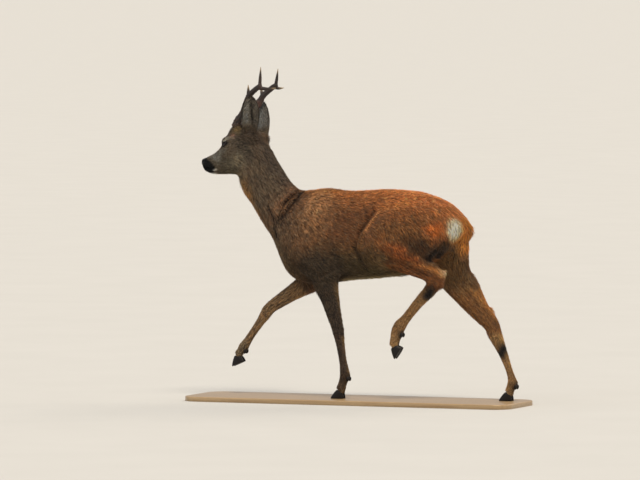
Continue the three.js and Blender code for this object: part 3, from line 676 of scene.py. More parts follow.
# %% Strokes on the head
# x, y, z of one end and of the other, width, lift
HEAD_STROKES = [
    (-478, 30, 857, -444, 40, 862, 6, 1.6), (-455, 0, 878, -415, 0, 898, 14, -1.8),  # brow, middle furrow
    (-490, 30, 814, -444, 43, 820, 7, 2.2), (-500, 26, 788, -465, 38, 778, 13, -2.4),  # cheek bone, hollow
    (-498, 22, 748, -440, 36, 752, 9, 1.8), (-440, 38, 752, -418, 40, 790, 11, 2.0),  # jaw
    (-475, 30, 829, -492, 24, 818, 3.4, -3.0),  # scent gland before the eye
    (-535, 14, 796, -500, 20, 812, 8, -1.4), (-540, 0, 796, -505, 0, 820, 7, 1.2),  # bridge of the nose
    (-546, 15, 766, -518, 20, 768, 8, 1.6),  # upper lip
    (-558, 8, 758, -540, 15, 757, 1.9, -3.4), (-540, 15, 757, -520, 19, 758, 1.9, -3.4),
    (-520, 19, 758, -504, 21, 762, 2.0, -2.6),  # mouth
    (-562, 0, 778, -559, 0, 760, 1.7, -2.6),  # cleft of the lip
    (-546, 11, 750, -515, 17, 748, 5, 1.6),  # lower lip
    (-560, 8.5, 780, -554, 12.5, 785, 2.7, -6.5), (-554, 12.5, 779, -546, 15.5, 782, 2.3, -4.5),  # nostril
    (-561, 6, 789, -549, 12, 792, 3.0, 1.8), (-557, 11, 772, -546, 15.5, 774, 3.0, 1.5),  # its wings
]
on_head = skin_points[:, 0] < -395
for x1, y1, z1, x2, y2, z2, width, height in HEAD_STROKES:
    line = segment_distance(folded(skin_points), (x1, y1, z1), (x2, y2, z2))
    lift += on_head * height * bell(line, width)
print("strokes lift the skin from", lift.min().round(1), "to", lift.max().round(1), "mm")

# %% Press the strokes in and make room for the coat
MELTED_TRUNK, MELTED_LEG = 1.6, 0.9  # millimetres that relaxing took off, given back
LID_COAT_DEPTH = 1.2
bare = smooth_step(-543, -549, skin_points[:, 0]) * smooth_step(765, 770, skin_points[:, 2])
coat_depth = (weight @ BONE_COAT[:, 0]) * (1 - bare)
round_eye = within(skin_points, EYE + [0, 6, 0], 21)
coat_depth = np.where(round_eye, np.minimum(coat_depth, LID_COAT_DEPTH), coat_depth)
regained = MELTED_LEG + (MELTED_TRUNK - MELTED_LEG) * trunk_share(skin_points)
regained *= skin_points[:, 0] > -420
skin_points = skin_points + faces_out * (lift + regained - coat_depth)[:, None]

# %% [markdown]
# ## Eyes and eyelids
#
# A deer's eyeball is 25 mm across and sits deep, with only an almond of it showing. The skin is opened
# there in the eye's own frame, with one axis along the slit towards the ear, one up and one out: inside
# the almond the skin sinks behind the ball, and round it the skin is kept just outside. The lids are a
# band of their own that runs round the almond, thick at its edge and sinking into the cheek.

# %% Open the skin at the eyes
SLIT = np.array([8.6, 5.7])  # half the length and half the height of the almond


def eye_frame(side):
    """The middle of an eye and three axes: along the slit, up and out."""
    out = unit(np.array([-0.30, 0.93 * side, 0.20]))
    along = np.array([0.90, 0.0, 0.40])
    along = unit(along - along @ out * out)
    up = np.cross(out, along)
    return EYE * [1, side, 1], np.stack([along, up * np.sign(up[2]), out])


def almond(angle):
    """A point of the almond's edge: an ellipse whose lower front corner is drawn out."""
    front = np.maximum(-np.cos(angle), 0) ** 6
    return np.stack([SLIT[0] * np.cos(angle) - 1.6 * front, SLIT[1] * np.sin(angle) - 2.2 * front], -1)


for side in (-1, 1):
    middle, axes = eye_frame(side)
    along, up, out = ((skin_points - middle) @ axes.T).T
    near = (np.hypot(along, up) < 22) & (out > -4)
    reach = np.hypot(along / SLIT[0], up / SLIT[1])
    ball_out = np.sqrt(np.maximum(EYE_RADIUS ** 2 - along ** 2 - up ** 2, 0))
    sunk = np.minimum(out, ball_out - 3.5)
    kept = np.maximum(out, np.where(ball_out > 0, ball_out + 0.9, out))
    opened = np.where(reach < 1.06, sunk, kept)
    skin_points = skin_points + np.where(near, opened - out, 0)[:, None] * axes[2]


LID_ROUND, LID_ACROSS = 72, 13  # points round an eyelid and across it


def eyelids(side):
    """A band round the almond. Across the band it runs outwards from the edge of the slit over a
    thick rim and sinks to the cheek; its height over the ball is a sine bulge less a steady fall."""
    middle, axes = eye_frame(side)
    angle = np.linspace(0, 2 * np.pi, LID_ROUND, endpoint=False)
    across = np.linspace(0, 1, LID_ACROSS)[:, None, None]
    flat = almond(angle)[None] * (0.94 + 0.62 * across)
    upper = smooth_step(-0.2, 0.8, np.sin(angle))[None]
    across = across[..., 0]
    rim = 0.1 + (1.5 + 0.9 * upper) * np.sin(np.pi * np.minimum(across * 1.25 + 0.08, 1)) ** 0.8
    crease = -0.9 * upper * bell(across - 0.55, 0.09)
    height = np.sqrt(np.maximum((EYE_RADIUS + rim + crease) ** 2 - (flat ** 2).sum(-1), 4))
    height = height - 3.0 * across ** 3
    local = np.concatenate([flat, height[..., None]], -1)
    return middle + local @ axes


# %% [markdown]
# ## Ears
#
# An ear is a leaf rolled into a cup: a narrow foot, widest below the middle, a pointed tip, and its two
# rims further forward than its middle. Remeshing would eat such a thin sheet, so each ear is a surface of
# its own: rings like a flattened tube, carried from the foot to the tip and joined into the skin at its
# root. Inside, two ridges run up from the foot, as the cartilage does.

# %% Ear surfaces
EAR_HALF_WIDTH, EAR_CUP, EAR_WALL = 33.5, 15.0, 1.5
EAR_FOOT = 0.17  # how far the rounded foot goes down into the head, as a share of the ear
EAR_WIDEST = 0.48  # the share of the way up at which an ear is widest
EAR_RINGS, EAR_ROUND = 44, 60


def ear_surface(name):
    """Rings up an ear, from its foot inside the head. Round a ring the point goes across by the cosine
    and through the wall by the sine of its angle. The cup pushes the middle back, by one less the square
    of the cosine. Also gives each point's place (way up, across, through) and the ear's axes."""
    side = SIDES[name]
    base, tip, facing_way = (np.array(point, float) * [1, side, 1] for point in EARS[name])
    up = tip - base
    forward = unit(facing_way - facing_way @ up / (up @ up) * up)
    across = np.cross(unit(up), forward)
    way = np.linspace(-EAR_FOOT, 1, EAR_RINGS)[:, None]
    foot = np.sqrt(np.maximum(1 - np.minimum(way / EAR_FOOT, 0) ** 2, 0))
    angle = np.linspace(0, 2 * np.pi, EAR_ROUND, endpoint=False)[None]
    c, s = np.cos(angle), np.sin(angle)
    low = np.clip(EAR_WIDEST - way, 0, EAR_WIDEST) / EAR_WIDEST
    high = np.maximum(way - EAR_WIDEST, 0) / 0.53
    leaf = foot * ((1 - high ** 2.2) ** 0.6 - 0.37 * low ** 2)
    ridges = 1.3 * np.maximum(s, 0) * (bell(c - 0.3, 0.12) + bell(c + 0.35, 0.12)) * (1 - way)
    cup = EAR_CUP * leaf * (1 - 0.55 * way) * (1 - c ** 2)
    wall = EAR_WALL * np.sign(s) * np.abs(s) ** 0.6 * smooth_step(1, 0.93, way) + ridges
    curl = 0.10 * EAR_HALF_WIDTH * leaf * np.abs(c) ** 6
    half = EAR_HALF_WIDTH * leaf * c * (1 - 0.04 * np.abs(c) ** 6)
    grid = base + way[..., None] * up + half[..., None] * across + (wall - cup + curl)[..., None] * forward
    place = np.stack([way + 0 * c, c * side + 0 * way, s + 0 * way], -1)
    return grid, place, unit(up), across


# %% Join ears and eyelids to the skin's arrays
ears = {name: ear_surface(name) for name in SIDES}
grids = [ears[name][0] for name in SIDES] + [eyelids(side) for side in SIDES.values()]
middles = [None, None] + [EYE * [1, side, 1] for side in SIDES.values()]
extra_points, extra_quads = gathered(grids)
extra_triangles = halved(extra_quads)
ends = np.cumsum([grid.shape[0] * grid.shape[1] for grid in grids])
for start, stop, middle in zip([0, *ends[:-1]], ends, middles):
    run = (extra_triangles[:, 0] >= start) & (extra_triangles[:, 0] < stop)
    extra_triangles[run] = outward(extra_points, extra_triangles[run], middle)
body_count, ear_count = len(skin_points), EAR_RINGS * EAR_ROUND
ear_place = np.concatenate([ears[name][1].reshape(-1, 3) for name in SIDES])
is_ear = np.zeros(body_count + len(extra_points), bool)
is_ear[body_count:body_count + 2 * ear_count] = True
is_lid = np.zeros_like(is_ear)
is_lid[body_count + 2 * ear_count:] = True
skin_points = np.concatenate([skin_points, extra_points])
triangles = np.concatenate([triangles, extra_triangles + body_count])
faces_out = facing(skin_points, triangles)
print("skin with ears and lids:", len(triangles), "triangles")

# %% [markdown]
# ## Markings
#
# A summer roebuck is foxy red on the back and rump, browner on the flank and shoulder, grey-brown on the
# neck and face, with a black nose, a white spot on the chin and a cream patch on each side of the rump.
# Painters of museum models lay these as soft washes with an airbrush, each over the last, and draw fine
# accents along the folds. So does this step: a wash is a colour, its strength, and an ellipse in side
# view with a soft edge. Some washes, lines and marks are not the coat's own colour but painted light and
# shade: painted highlights on fold edges, the shoulder blade and the left hock, a painted lit rim behind
# the legs, and painted shade in folds and grooves, towards the belly, behind the thigh and in the ears.
# The result is one colour for every point of the skin, and the tufts that grow there will take the same
# one, so the two can't differ.

# %% Washes on the sides of the body
# colour, strength, x and z of the middle, half length, half height, turn in degrees, softness of the edge
FLANK = "#744c2e"
WASHES = [
    ("#bf763f", .95, 60, 712, 345, 66, 0, .7),  # back
    ("#dd8234", .6, -135, 700, 75, 26, 0, .8),  # withers
    ("#d27d46", .95, 280, 650, 160, 80, -28, .7),  # croup
    ("#a5623a", .7, 230, 592, 130, 28, -12, .8),  # duller band under it
    ("#825830", .8, 235, 540, 150, 95, 0, .6),  # thigh
    ("#4d4026", .92, 20, 418, 205, 84, -3, .7),  # lower flank: a browner coat, and darker towards the belly as painted shade
    ("#7b6142", .5, 98, 454, 40, 24, -20, .8),  # stifle
    ("#85603f", .8, -150, 600, 75, 105, -25, .7),  # shoulder
    ("#cf9765", .65, -150, 640, 44, 52, -30, .9),  # painted highlight on its blade
    ("#3b2f22", .9, -125, 428, 110, 62, 0, .7),  # arm and elbow
    ("#544430", .85, -265, 470, 60, 95, 22, .6),  # breast
    ("#534536", .95, -330, 700, 185, 92, -53, .5),  # neck
    ("#3d332b", .9, -300, 790, 150, 30, -52, .7),  # crest of the neck
    ("#8e6232", .85, -392, 650, 120, 26, -68, .8),  # throat
    ("#84593a", .7, -250, 640, 42, 60, -50, .9),  # warmer root of the neck
    ("#5f5344", 1, -480, 800, 92, 82, 0, .35),  # face
    ("#40372f", .9, -440, 880, 66, 36, 4, .7),  # forehead and crown
    ("#2b2620", .8, -394, 824, 26, 40, 10, .8),  # behind the cheek
    ("#766b55", .8, -430, 784, 30, 20, 30, .8),  # cheek
    ("#5b5547", .6, -474, 784, 26, 18, 0, .8),  # hollow under the eye
    ("#4b4632", .6, -458, 748, 40, 16, 0, .8),  # jaw
    ("#979791", .85, -516, 798, 26, 10, 25, .9),  # grey streak beside the nose
    ("#b9b6ab", .6, -487, 803, 22, 7, 60, 1.1),  # pale hairs before the eye
    ("#b6b4a6", .8, -461, 853, 17, 6, 18, .8),  # pale brow
    ("#b0826f", .6, -443, 864, 8, 3.5, 66, .9),  # warm spot behind it
    ("#8a7040", .7, -427, 884, 17, 11, 30, .8),  # golden hair under the antler
    ("#3a3129", .6, -500, 822, 30, 7, 48, .9),  # dark bridge of the nose
    ("#9c5224", .75, 195, 484, 84, 26, -30, .8),  # red on the lower thigh
    ("#422a15", .85, 246, 520, 52, 24, -24, .8),  # painted shade above it, where the rear of the thigh turns from the light
    ("#cf6a2a", .7, 296, 572, 32, 24, 10, .9),  # orange rim of the rump patch
    ("#a8743a", .6, 352, 516, 30, 36, 0, .9),  # and below it
]

# Lines of painted light and shade: a painted highlight where a fold or ridge catches light on its edge, and
# painted shadow in its depth or in a groove: colour, strength, side (0 is both), x and z of one end, x and z
# of the other, half the width.
LIGHT_AND_SHADE_LINES = [
    ("#120b07", .95, -1, -192, 686, -250, 596, 5), ("#a87a4e", .5, -1, -202, 690, -250, 618, 3.5),
    ("#120b07", .9, -1, -212, 680, -245, 648, 4.5), ("#120b07", .9, -1, -245, 648, -268, 584, 4.5),
    ("#120b07", .85, -1, -306, 638, -284, 598, 5), ("#120b07", .8, -1, -284, 598, -275, 533, 4.5),
    ("#2a1d14", .5, 1, -226, 690, -262, 600, 5), ("#2a1d14", .5, 1, -262, 640, -284, 560, 5),  # painted shadow in the neck folds, and a painted highlight on one fold's edge
    ("#f4a468", .88, -1, 100, 622, 54, 556, 3.4), ("#b07c4e", .6, -1, 54, 556, 36, 500, 4.0),
    ("#3d2b1c", .5, -1, 84, 622, 42, 556, 4.5), ("#33251a", .45, -1, 16, 500, 44, 444, 9),  # painted highlight on the edge of the flank fold, painted shade in its furrow
    ("#d98a48", .5, -1, 108, 636, 190, 652, 14),  # painted light on the hair above it
    # a painted highlight along more of the fold's edge, and painted shade behind the thigh
    ("#e8965a", .45, -1, 100, 622, 126, 646, 3.8), ("#1a1009", .6, -1, 330, 516, 288, 482, 24),
    ("#1d1610", .8, -1, 187, 214, 176, 182, 9),  # painted shadow on the back of the lifted pastern
    ("#c99d70", .65, -1, 262, 466, 318, 441, 3.2), ("#25190d", .5, -1, 330, 522, 290, 484, 14),
    ("#0d0805", .85, -1, 300, 494, 276, 470, 13),  # painted highlight on the Achilles edge, painted shade behind the thigh
    ("#2f2318", .45, 0, -72, 520, -52, 448, 9), ("#9c7350", .35, 0, -122, 662, -196, 545, 8),  # painted shade behind the arm, painted highlight on the spine of the shoulder blade
    # painted shade in the grooves beside the right and the left hamstring
    ("#2b2017", .5, 1, 345, 400, 440, 280, 8), ("#33261a", .45, -1, 165, 455, 262, 410, 8),
]
CREASES = 12  # how many of these lines, from the first, are folds

# Colour of each bone's part of a limb, in front and at its rear edge, in the order of the joints: partly
# the coat's own colour and partly painted light and shade, a painted lit rim at the rear of the upper
# parts, and painted shade on the front of the forelegs and behind the hind pastern.
FORELEG_TONES = {2: ("#3a2f24", "#a07a4a"), 3: ("#43352a", "#97764a"), 4: ("#52412f", "#8d744e")}
HINDLEG_TONES = {1: ("#7a4a24", "#c07c3c"), 2: ("#9a7448", "#c39455"), 3: ("#b48c5a", "#7a6242")}
INNER_SIDE = "#96744c"  # the side of a leg that faces the other leg is paler


def wash_weight(points, x, z, length, height, turn, softness):
    """1 inside an ellipse in side view, 0 outside it, with a soft edge."""
    turn = math.radians(turn)
    dx, dz = points[:, 0] - x, points[:, 2] - z
    reach = np.hypot((dx * math.cos(turn) + dz * math.sin(turn)) / length,
                     (dz * math.cos(turn) - dx * math.sin(turn)) / height)
    return 1 - smooth_step(1 - softness, 1 + softness, reach)


def washed(colours, colour, strength):
    """Lays a colour over others, as strongly as each point's strength says."""
    return colours + np.asarray(strength)[:, None] * (srgb(colour) - colours)


SEED = np.random.default_rng(11)


def mottle(points, size, waves=14):
    """Smooth noise, mostly between -1.5 and 1.5: waves in random directions, all about one length, added
    up and divided by the root of their number."""
    direction = unit(SEED.normal(size=(waves, 3)))
    length = size * SEED.uniform(0.7, 1.6, waves)
    phase = SEED.uniform(0, 2 * np.pi, waves)
    total = np.zeros(len(points))
    for way, reach, start in zip(direction, length, phase):
        total += np.sin(2 * np.pi * (points @ way) / reach + start)
    return total / math.sqrt(waves)


arrow, nearness = measured_from_bones(skin_points)
weight = bone_weights(nearness)
side_view = skin_points[:, [0, 2]]
x, y, z = skin_points.T
wide = np.abs(y)
tone = np.tile(srgb(FLANK), (len(skin_points), 1))
wander = skin_points + 7 * np.column_stack([mottle(skin_points, 45), 0 * x, mottle(skin_points, 45)])
for colour, strength, *ellipse in WASHES:
    tone = washed(tone, colour, strength * wash_weight(wander, *ellipse))

outer = np.sign(y)
for colour, strength, which, x1, z1, x2, z2, width in LIGHT_AND_SHADE_LINES:
    line = bell(segment_distance(side_view, (x1, z1), (x2, z2)), width)
    shows = (outer * which >= 0) * smooth_step(0, 0.5, faces_out[:, 1] * outer)
    tone = washed(tone, colour, strength * line * shows)

# %% Limbs, darker in front and paler behind, partly as the coat is and partly as painted shade and a painted lit rim
for limb in LIMBS:
    joints = limb_joints(limb)
    tones, inner_strength = (FORELEG_TONES, 0.75) if len(joints) == 6 else (HINDLEG_TONES, 0.4)
    inner = smooth_step(0.1, 0.7, -faces_out[:, 1] * LIMBS[limb][0]) * inner_strength
    for number, (front_tone, rear_tone_and_rim_light) in tones.items():
        bone = BONE_NAMES.index(f"{limb} {number}")
        down = unit(joints[number + 1] - joints[number])
        behind = arrow[:, bone] @ rearward(down) / BONE_THICK[bone]
        belongs = smooth_step(0.25, 0.75, weight[:, bone])
        tone = washed(tone, front_tone, belongs * 0.92)
        tone = washed(tone, INNER_SIDE, belongs * inner)
        tone = washed(tone, rear_tone_and_rim_light, belongs * smooth_step(0.5, 1.05, behind) * 0.85)

# %% Small marks on the legs
GLANDS = [("hindleg_left", .22), ("hindleg_right", .45)]  # and how far down the cannon bone they lie


def round_point(place, width):
    """1 at a place, falling as a bell curve with the distance from it."""
    return bell(np.linalg.norm(skin_points - place, axis=1), width)


marks = []  # a colour and its strength at every point, in the order they are laid
for limb, way in GLANDS:  # a dark brush on the outside of each hind shin
    joints = limb_joints(limb)
    at = (joints[2] + way * (joints[3] - joints[2]) + [6, 0, 0])[[0, 2]]
    brush = bell(segment_distance(side_view, at - [5, 10], at + [5, 10]), 15)
    marks.append(("#120d0a", brush * (y * LIMBS[limb][0] > 20)))
for limb in LIMBS:  # dark hair round the dewclaws
    fetlock, crown = limb_joints(limb)[-2:]
    down = unit(crown - fetlock)
    marks.append(("#1d1712", 0.8 * round_point(fetlock + rearward(down) * 15 + down * 6, 17)))
marks.append(("#fbc292", np.minimum(1.4 * round_point([333, -60, 436], 19), 1)))  # painted highlight on the point of the left hock

# %% Small marks on the trunk
inner_thigh = (smooth_step(0.0, 0.5, -faces_out[:, 1] * np.sign(y)) * (x > 240)
               * smooth_step(530, 500, z) * smooth_step(330, 400, z))
from_patch = np.sqrt(((x - 362) / 35) ** 2 + ((wide - 54) / 28) ** 2 + ((z - 578) / 40) ** 2)
between_thighs = bell(segment_distance(side_view, (345, 510), (330, 430)), 30) * smooth_step(58, 30, wide)
sheath = round_point([164, 0, 404], 15)
marks += [
    ("#7b5e3c", 0.8 * inner_thigh),
    ("#cfc09b", 0.5 * smooth_step(40, 12, wide) * smooth_step(440, 400, z) * (x > -60) * (x < 240)),  # belly
    ("#dc8434", 0.75 * smooth_step(352, 382, x) * smooth_step(480, 505, z) * smooth_step(650, 620, z)),
    ("#fbf0cf", 1 - smooth_step(0.3, 1.3, from_patch)),  # rump patch
    ("#b0702e", 0.85 * smooth_step(17, 9, wide) * (x > 365) * smooth_step(510, 535, z)),  # tail
    ("#7a5c38", 0.6 * between_thighs),
    ("#241a12", 0.9 * sheath),
    ("#42311f", 0.55 * smooth_step(9, 3, wide) * smooth_step(686, 692, z) * (x < -40) * (x > -170)),
]

# %% Small marks on the head
# The black of the muzzle ends along a line: how far back it reaches (x) at each height (z).
BLACK_HEIGHTS = [738, 746, 752, 765, 776, 785, 796]
BLACK_UNTIL = [-530, -514, -508, -512, -522, -537, -549]
both_halves = folded(skin_points)
lip_spot = bell(segment_distance(both_halves, (-513, 18, 750), (-507, 19, 752)), 4.5)
gland = bell(segment_distance(both_halves, (-476, 30, 829), (-490, 24, 820)), 3.5)
forehead = smooth_step(19, 9, wide) * smooth_step(-418, -434, x) * smooth_step(812, 832, z)
black = smooth_step(3, -3, x - np.interp(z, BLACK_HEIGHTS, BLACK_UNTIL)) * (x < -480)
marks += [
    ("#3f352b", 0.8 * forehead), ("#060504", black),
    ("#e9e5da", 0.9 * smooth_step(746, 741, z) * smooth_step(-500, -512, x)),  # white chin
    ("#efebe2", lip_spot * (z < 757)),
    ("#8d8169", 0.5 * smooth_step(745, 738, z) * (x > -505) * smooth_step(-400, -430, x)),  # under the jaw
    ("#1d1712", 0.85 * gland * (x < -470)),
]
for colour, strength in marks:
    tone = washed(tone, colour, strength)

# %% Colours of the eyelids and ears
lid_across = np.tile(np.repeat(np.linspace(0, 1, LID_ACROSS), LID_ROUND), 2)
lid_tone = washed(tone[is_lid], "#544a3f", np.full(is_lid.sum(), 0.8))
tone[is_lid] = washed(lid_tone, "#0e0b09", smooth_step(0.72, 0.44, lid_across))
way, c, s = ear_place.T
back_of_ear = smooth_step(0.1, -0.1, s)
rim = smooth_step(0.80, 0.97, np.abs(c)) + smooth_step(0.86, 0.97, way)
inner_tone = np.tile(srgb("#625a50"), (len(way), 1))
inner_tone = washed(inner_tone, "#8f8b82", smooth_step(0.12, 0.4, c) * smooth_step(0.95, 0.6, way))
furrow = bell(c + 0.30 - 0.5 * way, 0.17)  # painted shade in the ear's hollow; it slants from the root at the back to the tip in front
inner_tone = washed(inner_tone, "#17120e", furrow * smooth_step(0.95, 0.7, way) * smooth_step(0.1, 0.3, way))
outer_tone = washed(np.tile(srgb("#55524e"), (len(way), 1)), "#7c8182", bell(c, 0.5) * 0.7)
ear_tone = inner_tone + back_of_ear[:, None] * (outer_tone - inner_tone)
ear_tone = washed(ear_tone, "#211a15", np.clip(rim, 0, 1) * 0.85 * smooth_step(0.1, 0.4, way))
tone[is_ear] = washed(ear_tone, "#4d3f30", smooth_step(0.24, 0.04, way))  # its root is coloured as the head
tone = np.clip(tone * (1 + 0.05 * mottle(skin_points, 22))[:, None], 0, 1)
nose_leather = np.zeros(len(skin_points))
nose_leather[:body_count] = bare
print("markings from", tone.min().round(2), "to", tone.max().round(2))

# %% [markdown]
# ## The lie of the coat
#
# Hair streams over an animal from the nose to the tail and down the legs, and turns aside at the brow,
# the breast and the flank. The stream is given by arrows, as on a chart for a groomer: at a few places on
# the body its direction, and down every limb bone the direction of the bone. In between, each point takes
# the mean of the arrows, the nearest ones counting most, laid flat on the skin.

# %% Arrows of the stream
# x, distance from the middle plane, z; the way it lies in x, outwards and in z
STREAM = np.array([
    [-545, 10, 785, .9, .3, .3], [-530, 0, 802, .8, 0, .6], [-500, 0, 823, .6, 0, .8],
    [-472, 0, 860, .7, 0, .7], [-430, 0, 894, .95, 0, .2], [-512, 22, 775, .95, .2, .1],
    [-470, 42, 800, .95, .1, -.2],
    [-435, 42, 765, .8, 0, -.6], [-480, 18, 738, .98, .1, -.2], [-432, 42, 850, .95, 0, .1],
    [-398, 0, 892, .85, 0, -.5], [-412, 25, 720, .5, 0, -.85], [-340, 0, 858, .6, 0, -.8],
    [-365, 42, 760, .55, 0, -.83], [-392, 0, 675, .3, .2, -.9], [-285, 48, 680, .6, 0, -.8],
    [-340, 0, 578, .35, .1, -.9], [-245, 0, 716, .85, 0, -.5], [-250, 60, 600, .6, 0, -.8],
    [-292, 0, 500, .3, .1, -.95], [-250, 0, 425, .7, 0, -.7], [-150, 0, 388, 1, 0, 0],
    [-150, 0, 696, 1, 0, 0],
    [-150, 72, 600, .72, 0, -.7], [-210, 70, 500, .5, 0, -.85], [-40, 80, 570, .9, 0, -.42],
    [-30, 80, 460, .92, 0, -.4], [-40, 0, 386, 1, 0, 0], [80, 0, 694, 1, 0, 0], [80, 85, 600, .9, 0, -.42],
    [60, 80, 480, .8, 0, -.6], [100, 0, 402, 1, 0, 0], [190, 0, 692, 1, 0, 0], [250, 80, 610, .75, 0, -.66],
    [300, 0, 660, .9, 0, -.4], [355, 40, 625, .6, .1, -.8], [372, 34, 566, .2, .6, -.75],
    [392, 0, 595, .4, 0, -.9], [412, 0, 545, .1, 0, -1], [345, 30, 485, 0, 0, -1], [220, 0, 436, 1, 0, 0],
    [150, 80, 540, .45, 0, -.9], [240, 80, 500, .5, 0, -.86],
], float)
STREAM_REACH = 55.0
place_at = [STREAM[:, :3] * [1, side, 1] for side in (-1, 1)]
way_there = [STREAM[:, 3:] * [1, side, 1] for side in (-1, 1)]
how_far = [np.full(2 * len(STREAM), STREAM_REACH)]
for limb in LIMBS:
    joints = limb_joints(limb)
    for number in range(1, len(joints) - 1):
        steps = np.linspace(0.1, 0.9, 5)[:, None]
        bone = joints[number + 1] - joints[number]
        place_at.append(joints[number] + steps * bone)
        way_there.append(np.tile(bone, (5, 1)))
        how_far.append(np.full(5, BONE_THICK[BONE_NAMES.index(f"{limb} {number}")] * 0.9))
place_at, way_there = np.concatenate(place_at), unit(np.concatenate(way_there))
apart = np.linalg.norm(skin_points[:, None] - place_at[None], axis=2) / np.concatenate(how_far)
pull = (apart + 0.1) ** -4.0
stream = unit((pull / pull.sum(1, keepdims=True)) @ way_there)
for number, name in enumerate(SIDES):  # up an ear, and inside it aside from its middle as well
    start = body_count + number * ear_count
    _, place, up, across = ears[name]
    _, c, s = place.reshape(-1, 3).T
    aside = 0.6 * smooth_step(-0.1, 0.1, s) * np.sign(c) * SIDES[name] * (np.abs(c) < 0.9)
    stream[start:start + ear_count] = up - aside[:, None] * across
stream[is_lid] = [0.9, 0, 0.2]
stream = unit(stream - (stream * faces_out).sum(1, keepdims=True) * faces_out)
print("arrows:", len(place_at))

# %% [markdown]
# ## The skin's own finish
#
# What shows between the tufts is the underfur close to the skin: the same markings, a fifth darker, with
# a grain of about 1 mm, coarser than hair is, so that it shows. The nose is another finish on the same
# skin, bare wet leather, black and cobbled at about 1.5 mm. Both are one material, and a value kept at
# every point says how bare the skin is there.

# %% Skin material and object
def skin_material():
    """Underfur, and wet black leather where the skin is bare."""
    material, tree, place = new_material("underfur and nose leather")
    marking = add_node(tree, "Attribute", {"attribute_name": "marking"}).outputs["Color"]
    bareness = add_node(tree, "Attribute", {"attribute_name": "bareness"}).outputs["Fac"]
    grain = add_node(tree, "TexNoise", Vector=place, Scale=900.0, Detail=3.0).outputs["Fac"]
    cobbles = add_node(tree, "TexVoronoi", {"feature": "DISTANCE_TO_EDGE"}, Vector=place,
                       Scale=650.0).outputs[0]
    shade = add_node(tree, "MapRange", Value=grain, To_Min=0.45, To_Max=1.0).outputs[0]
    under = add_node(tree, "Mix", {"data_type": "RGBA", "blend_type": "MULTIPLY"}, Factor=1.0, _6=marking,
                     _7=shade).outputs[2]
    colour = add_node(tree, "Mix", {"data_type": "RGBA"}, Factor=bareness, _6=under,
                      _7=paint("#030303")).outputs[2]
    roughness = add_node(tree, "MapRange", Value=bareness, To_Min=0.85, To_Max=0.5).outputs[0]
    relief = add_node(tree, "Mix", {"data_type": "FLOAT"}, Factor=bareness, A=grain, B=cobbles).outputs[0]
    bump = add_node(tree, "Bump", Height=relief, Strength=0.6, Distance=0.0012).outputs[0]
    finish_surface(tree, Base_Color=colour, Roughness=roughness, Normal=bump, Specular_IOR_Level=0.22)
    return material


UNDERFUR = 0.80  # its brightness next to the coat's
skin = build("skin", skin_points, [triangles], skin_material())
keep_value(skin, "marking", linear(tone * UNDERFUR))
keep_value(skin, "bareness", nose_leather, "FLOAT")
FLESH_NODES = ["trunk", "neck", "head", "tail", "ear_left", "ear_right"] + [
    f"{limb}_{part}" for limb in LIMBS for part in ("upper", "middle", "lower")]
dress(skin, "coat", *FLESH_NODES)

# %% [markdown]
# ## Tufts
#
# A strand of real hair is 0.05 mm thick, far too fine to model, but hairs stick together in locks, and a
# lock can be modelled: a flat spike of three sides, 1 to 2 mm wide and as long as the hair. Particle hair
# would be quicker to grow, but it is no mesh. So every tuft is worked out as seven points and ten
# triangles, all tufts at once in whole arrays: three points round the root, three round the bend, one at
# the tip. The root is sunk in the skin, the spike rises to its bend and then lies down along the stream.

# %% Where tufts grow
def grown_on(points, triangles, wanted_per_square_cm, rng):
    """Random places on triangles: each triangle gets as many as its area asks for, the fraction being
    left to chance. Returns the triangle of each and the three shares that place it there."""
    a, b, c = (points[triangles[:, k]] for k in range(3))
    area = np.linalg.norm(np.cross(b - a, c - a), axis=1) / 2 / 100
    asked = area * wanted_per_square_cm[triangles].mean(1)
    count = np.floor(asked + rng.random(len(asked))).astype(int)
    chosen = np.repeat(np.arange(len(triangles)), count)
    one, two = np.sqrt(rng.random(len(chosen))), rng.random(len(chosen))
    return chosen, np.column_stack([1 - one, one * (1 - two), one * two])


LID_COAT = [0.6, 2.6, 0.8, 34]
coat = weight @ BONE_COAT
coat[is_ear] = EAR_COAT[1]
inner_ear = np.zeros(len(skin_points))
inner_ear[is_ear] = smooth_step(0.0, 0.3, ear_place[:, 2]) * smooth_step(1, 0.9, ear_place[:, 0])
coat[:, 1] += 6 * inner_ear  # long, sparse hair
coat[:, 3] *= 1 - 0.35 * inner_ear
coat[is_lid] = LID_COAT
wanted = coat[:, 3] * (1 - smooth_step(0.2, 0.6, nose_leather))
wanted[is_lid] *= smooth_step(0.3, 0.5, lid_across)
for side in (-1, 1):  # none inside the slit of the eye
    middle, axes = eye_frame(side)
    along, up, out = ((skin_points - middle) @ axes.T).T
    wanted[(np.hypot(along / SLIT[0], up / SLIT[1]) < 1.3) & (out > -6) & (out < 30) & ~is_lid] = 0
mouth = segment_distance(both_halves, (-553, 9, 757), (-500, 22, 750))
wanted[(mouth < 2.5) & (x < -495)] = 0
crease = np.zeros(len(skin_points))  # the coat is short where the skin folds, or it would hide the fold
for _, _, which, x1, z1, x2, z2, _ in LIGHT_AND_SHADE_LINES[:CREASES]:
    near_line = segment_distance(side_view, (x1, z1), (x2, z2))
    crease = np.maximum(crease, bell(near_line, 11) * (y * which >= 0))
coat[:, :2] *= 1 - 0.5 * crease[:, None]
coat[:, :2] *= 1 + np.array([0.6, 0.9]) * sheath[:, None]
GROWTH = np.random.default_rng(23)
chosen, corners = grown_on(skin_points, triangles, wanted, GROWTH)
print("tufts:", len(chosen))


def at_roots(values):
    """A value of the skin's points at every root."""
    return (values[triangles[chosen]] * (corners if values.ndim == 1 else corners[..., None])).sum(1)


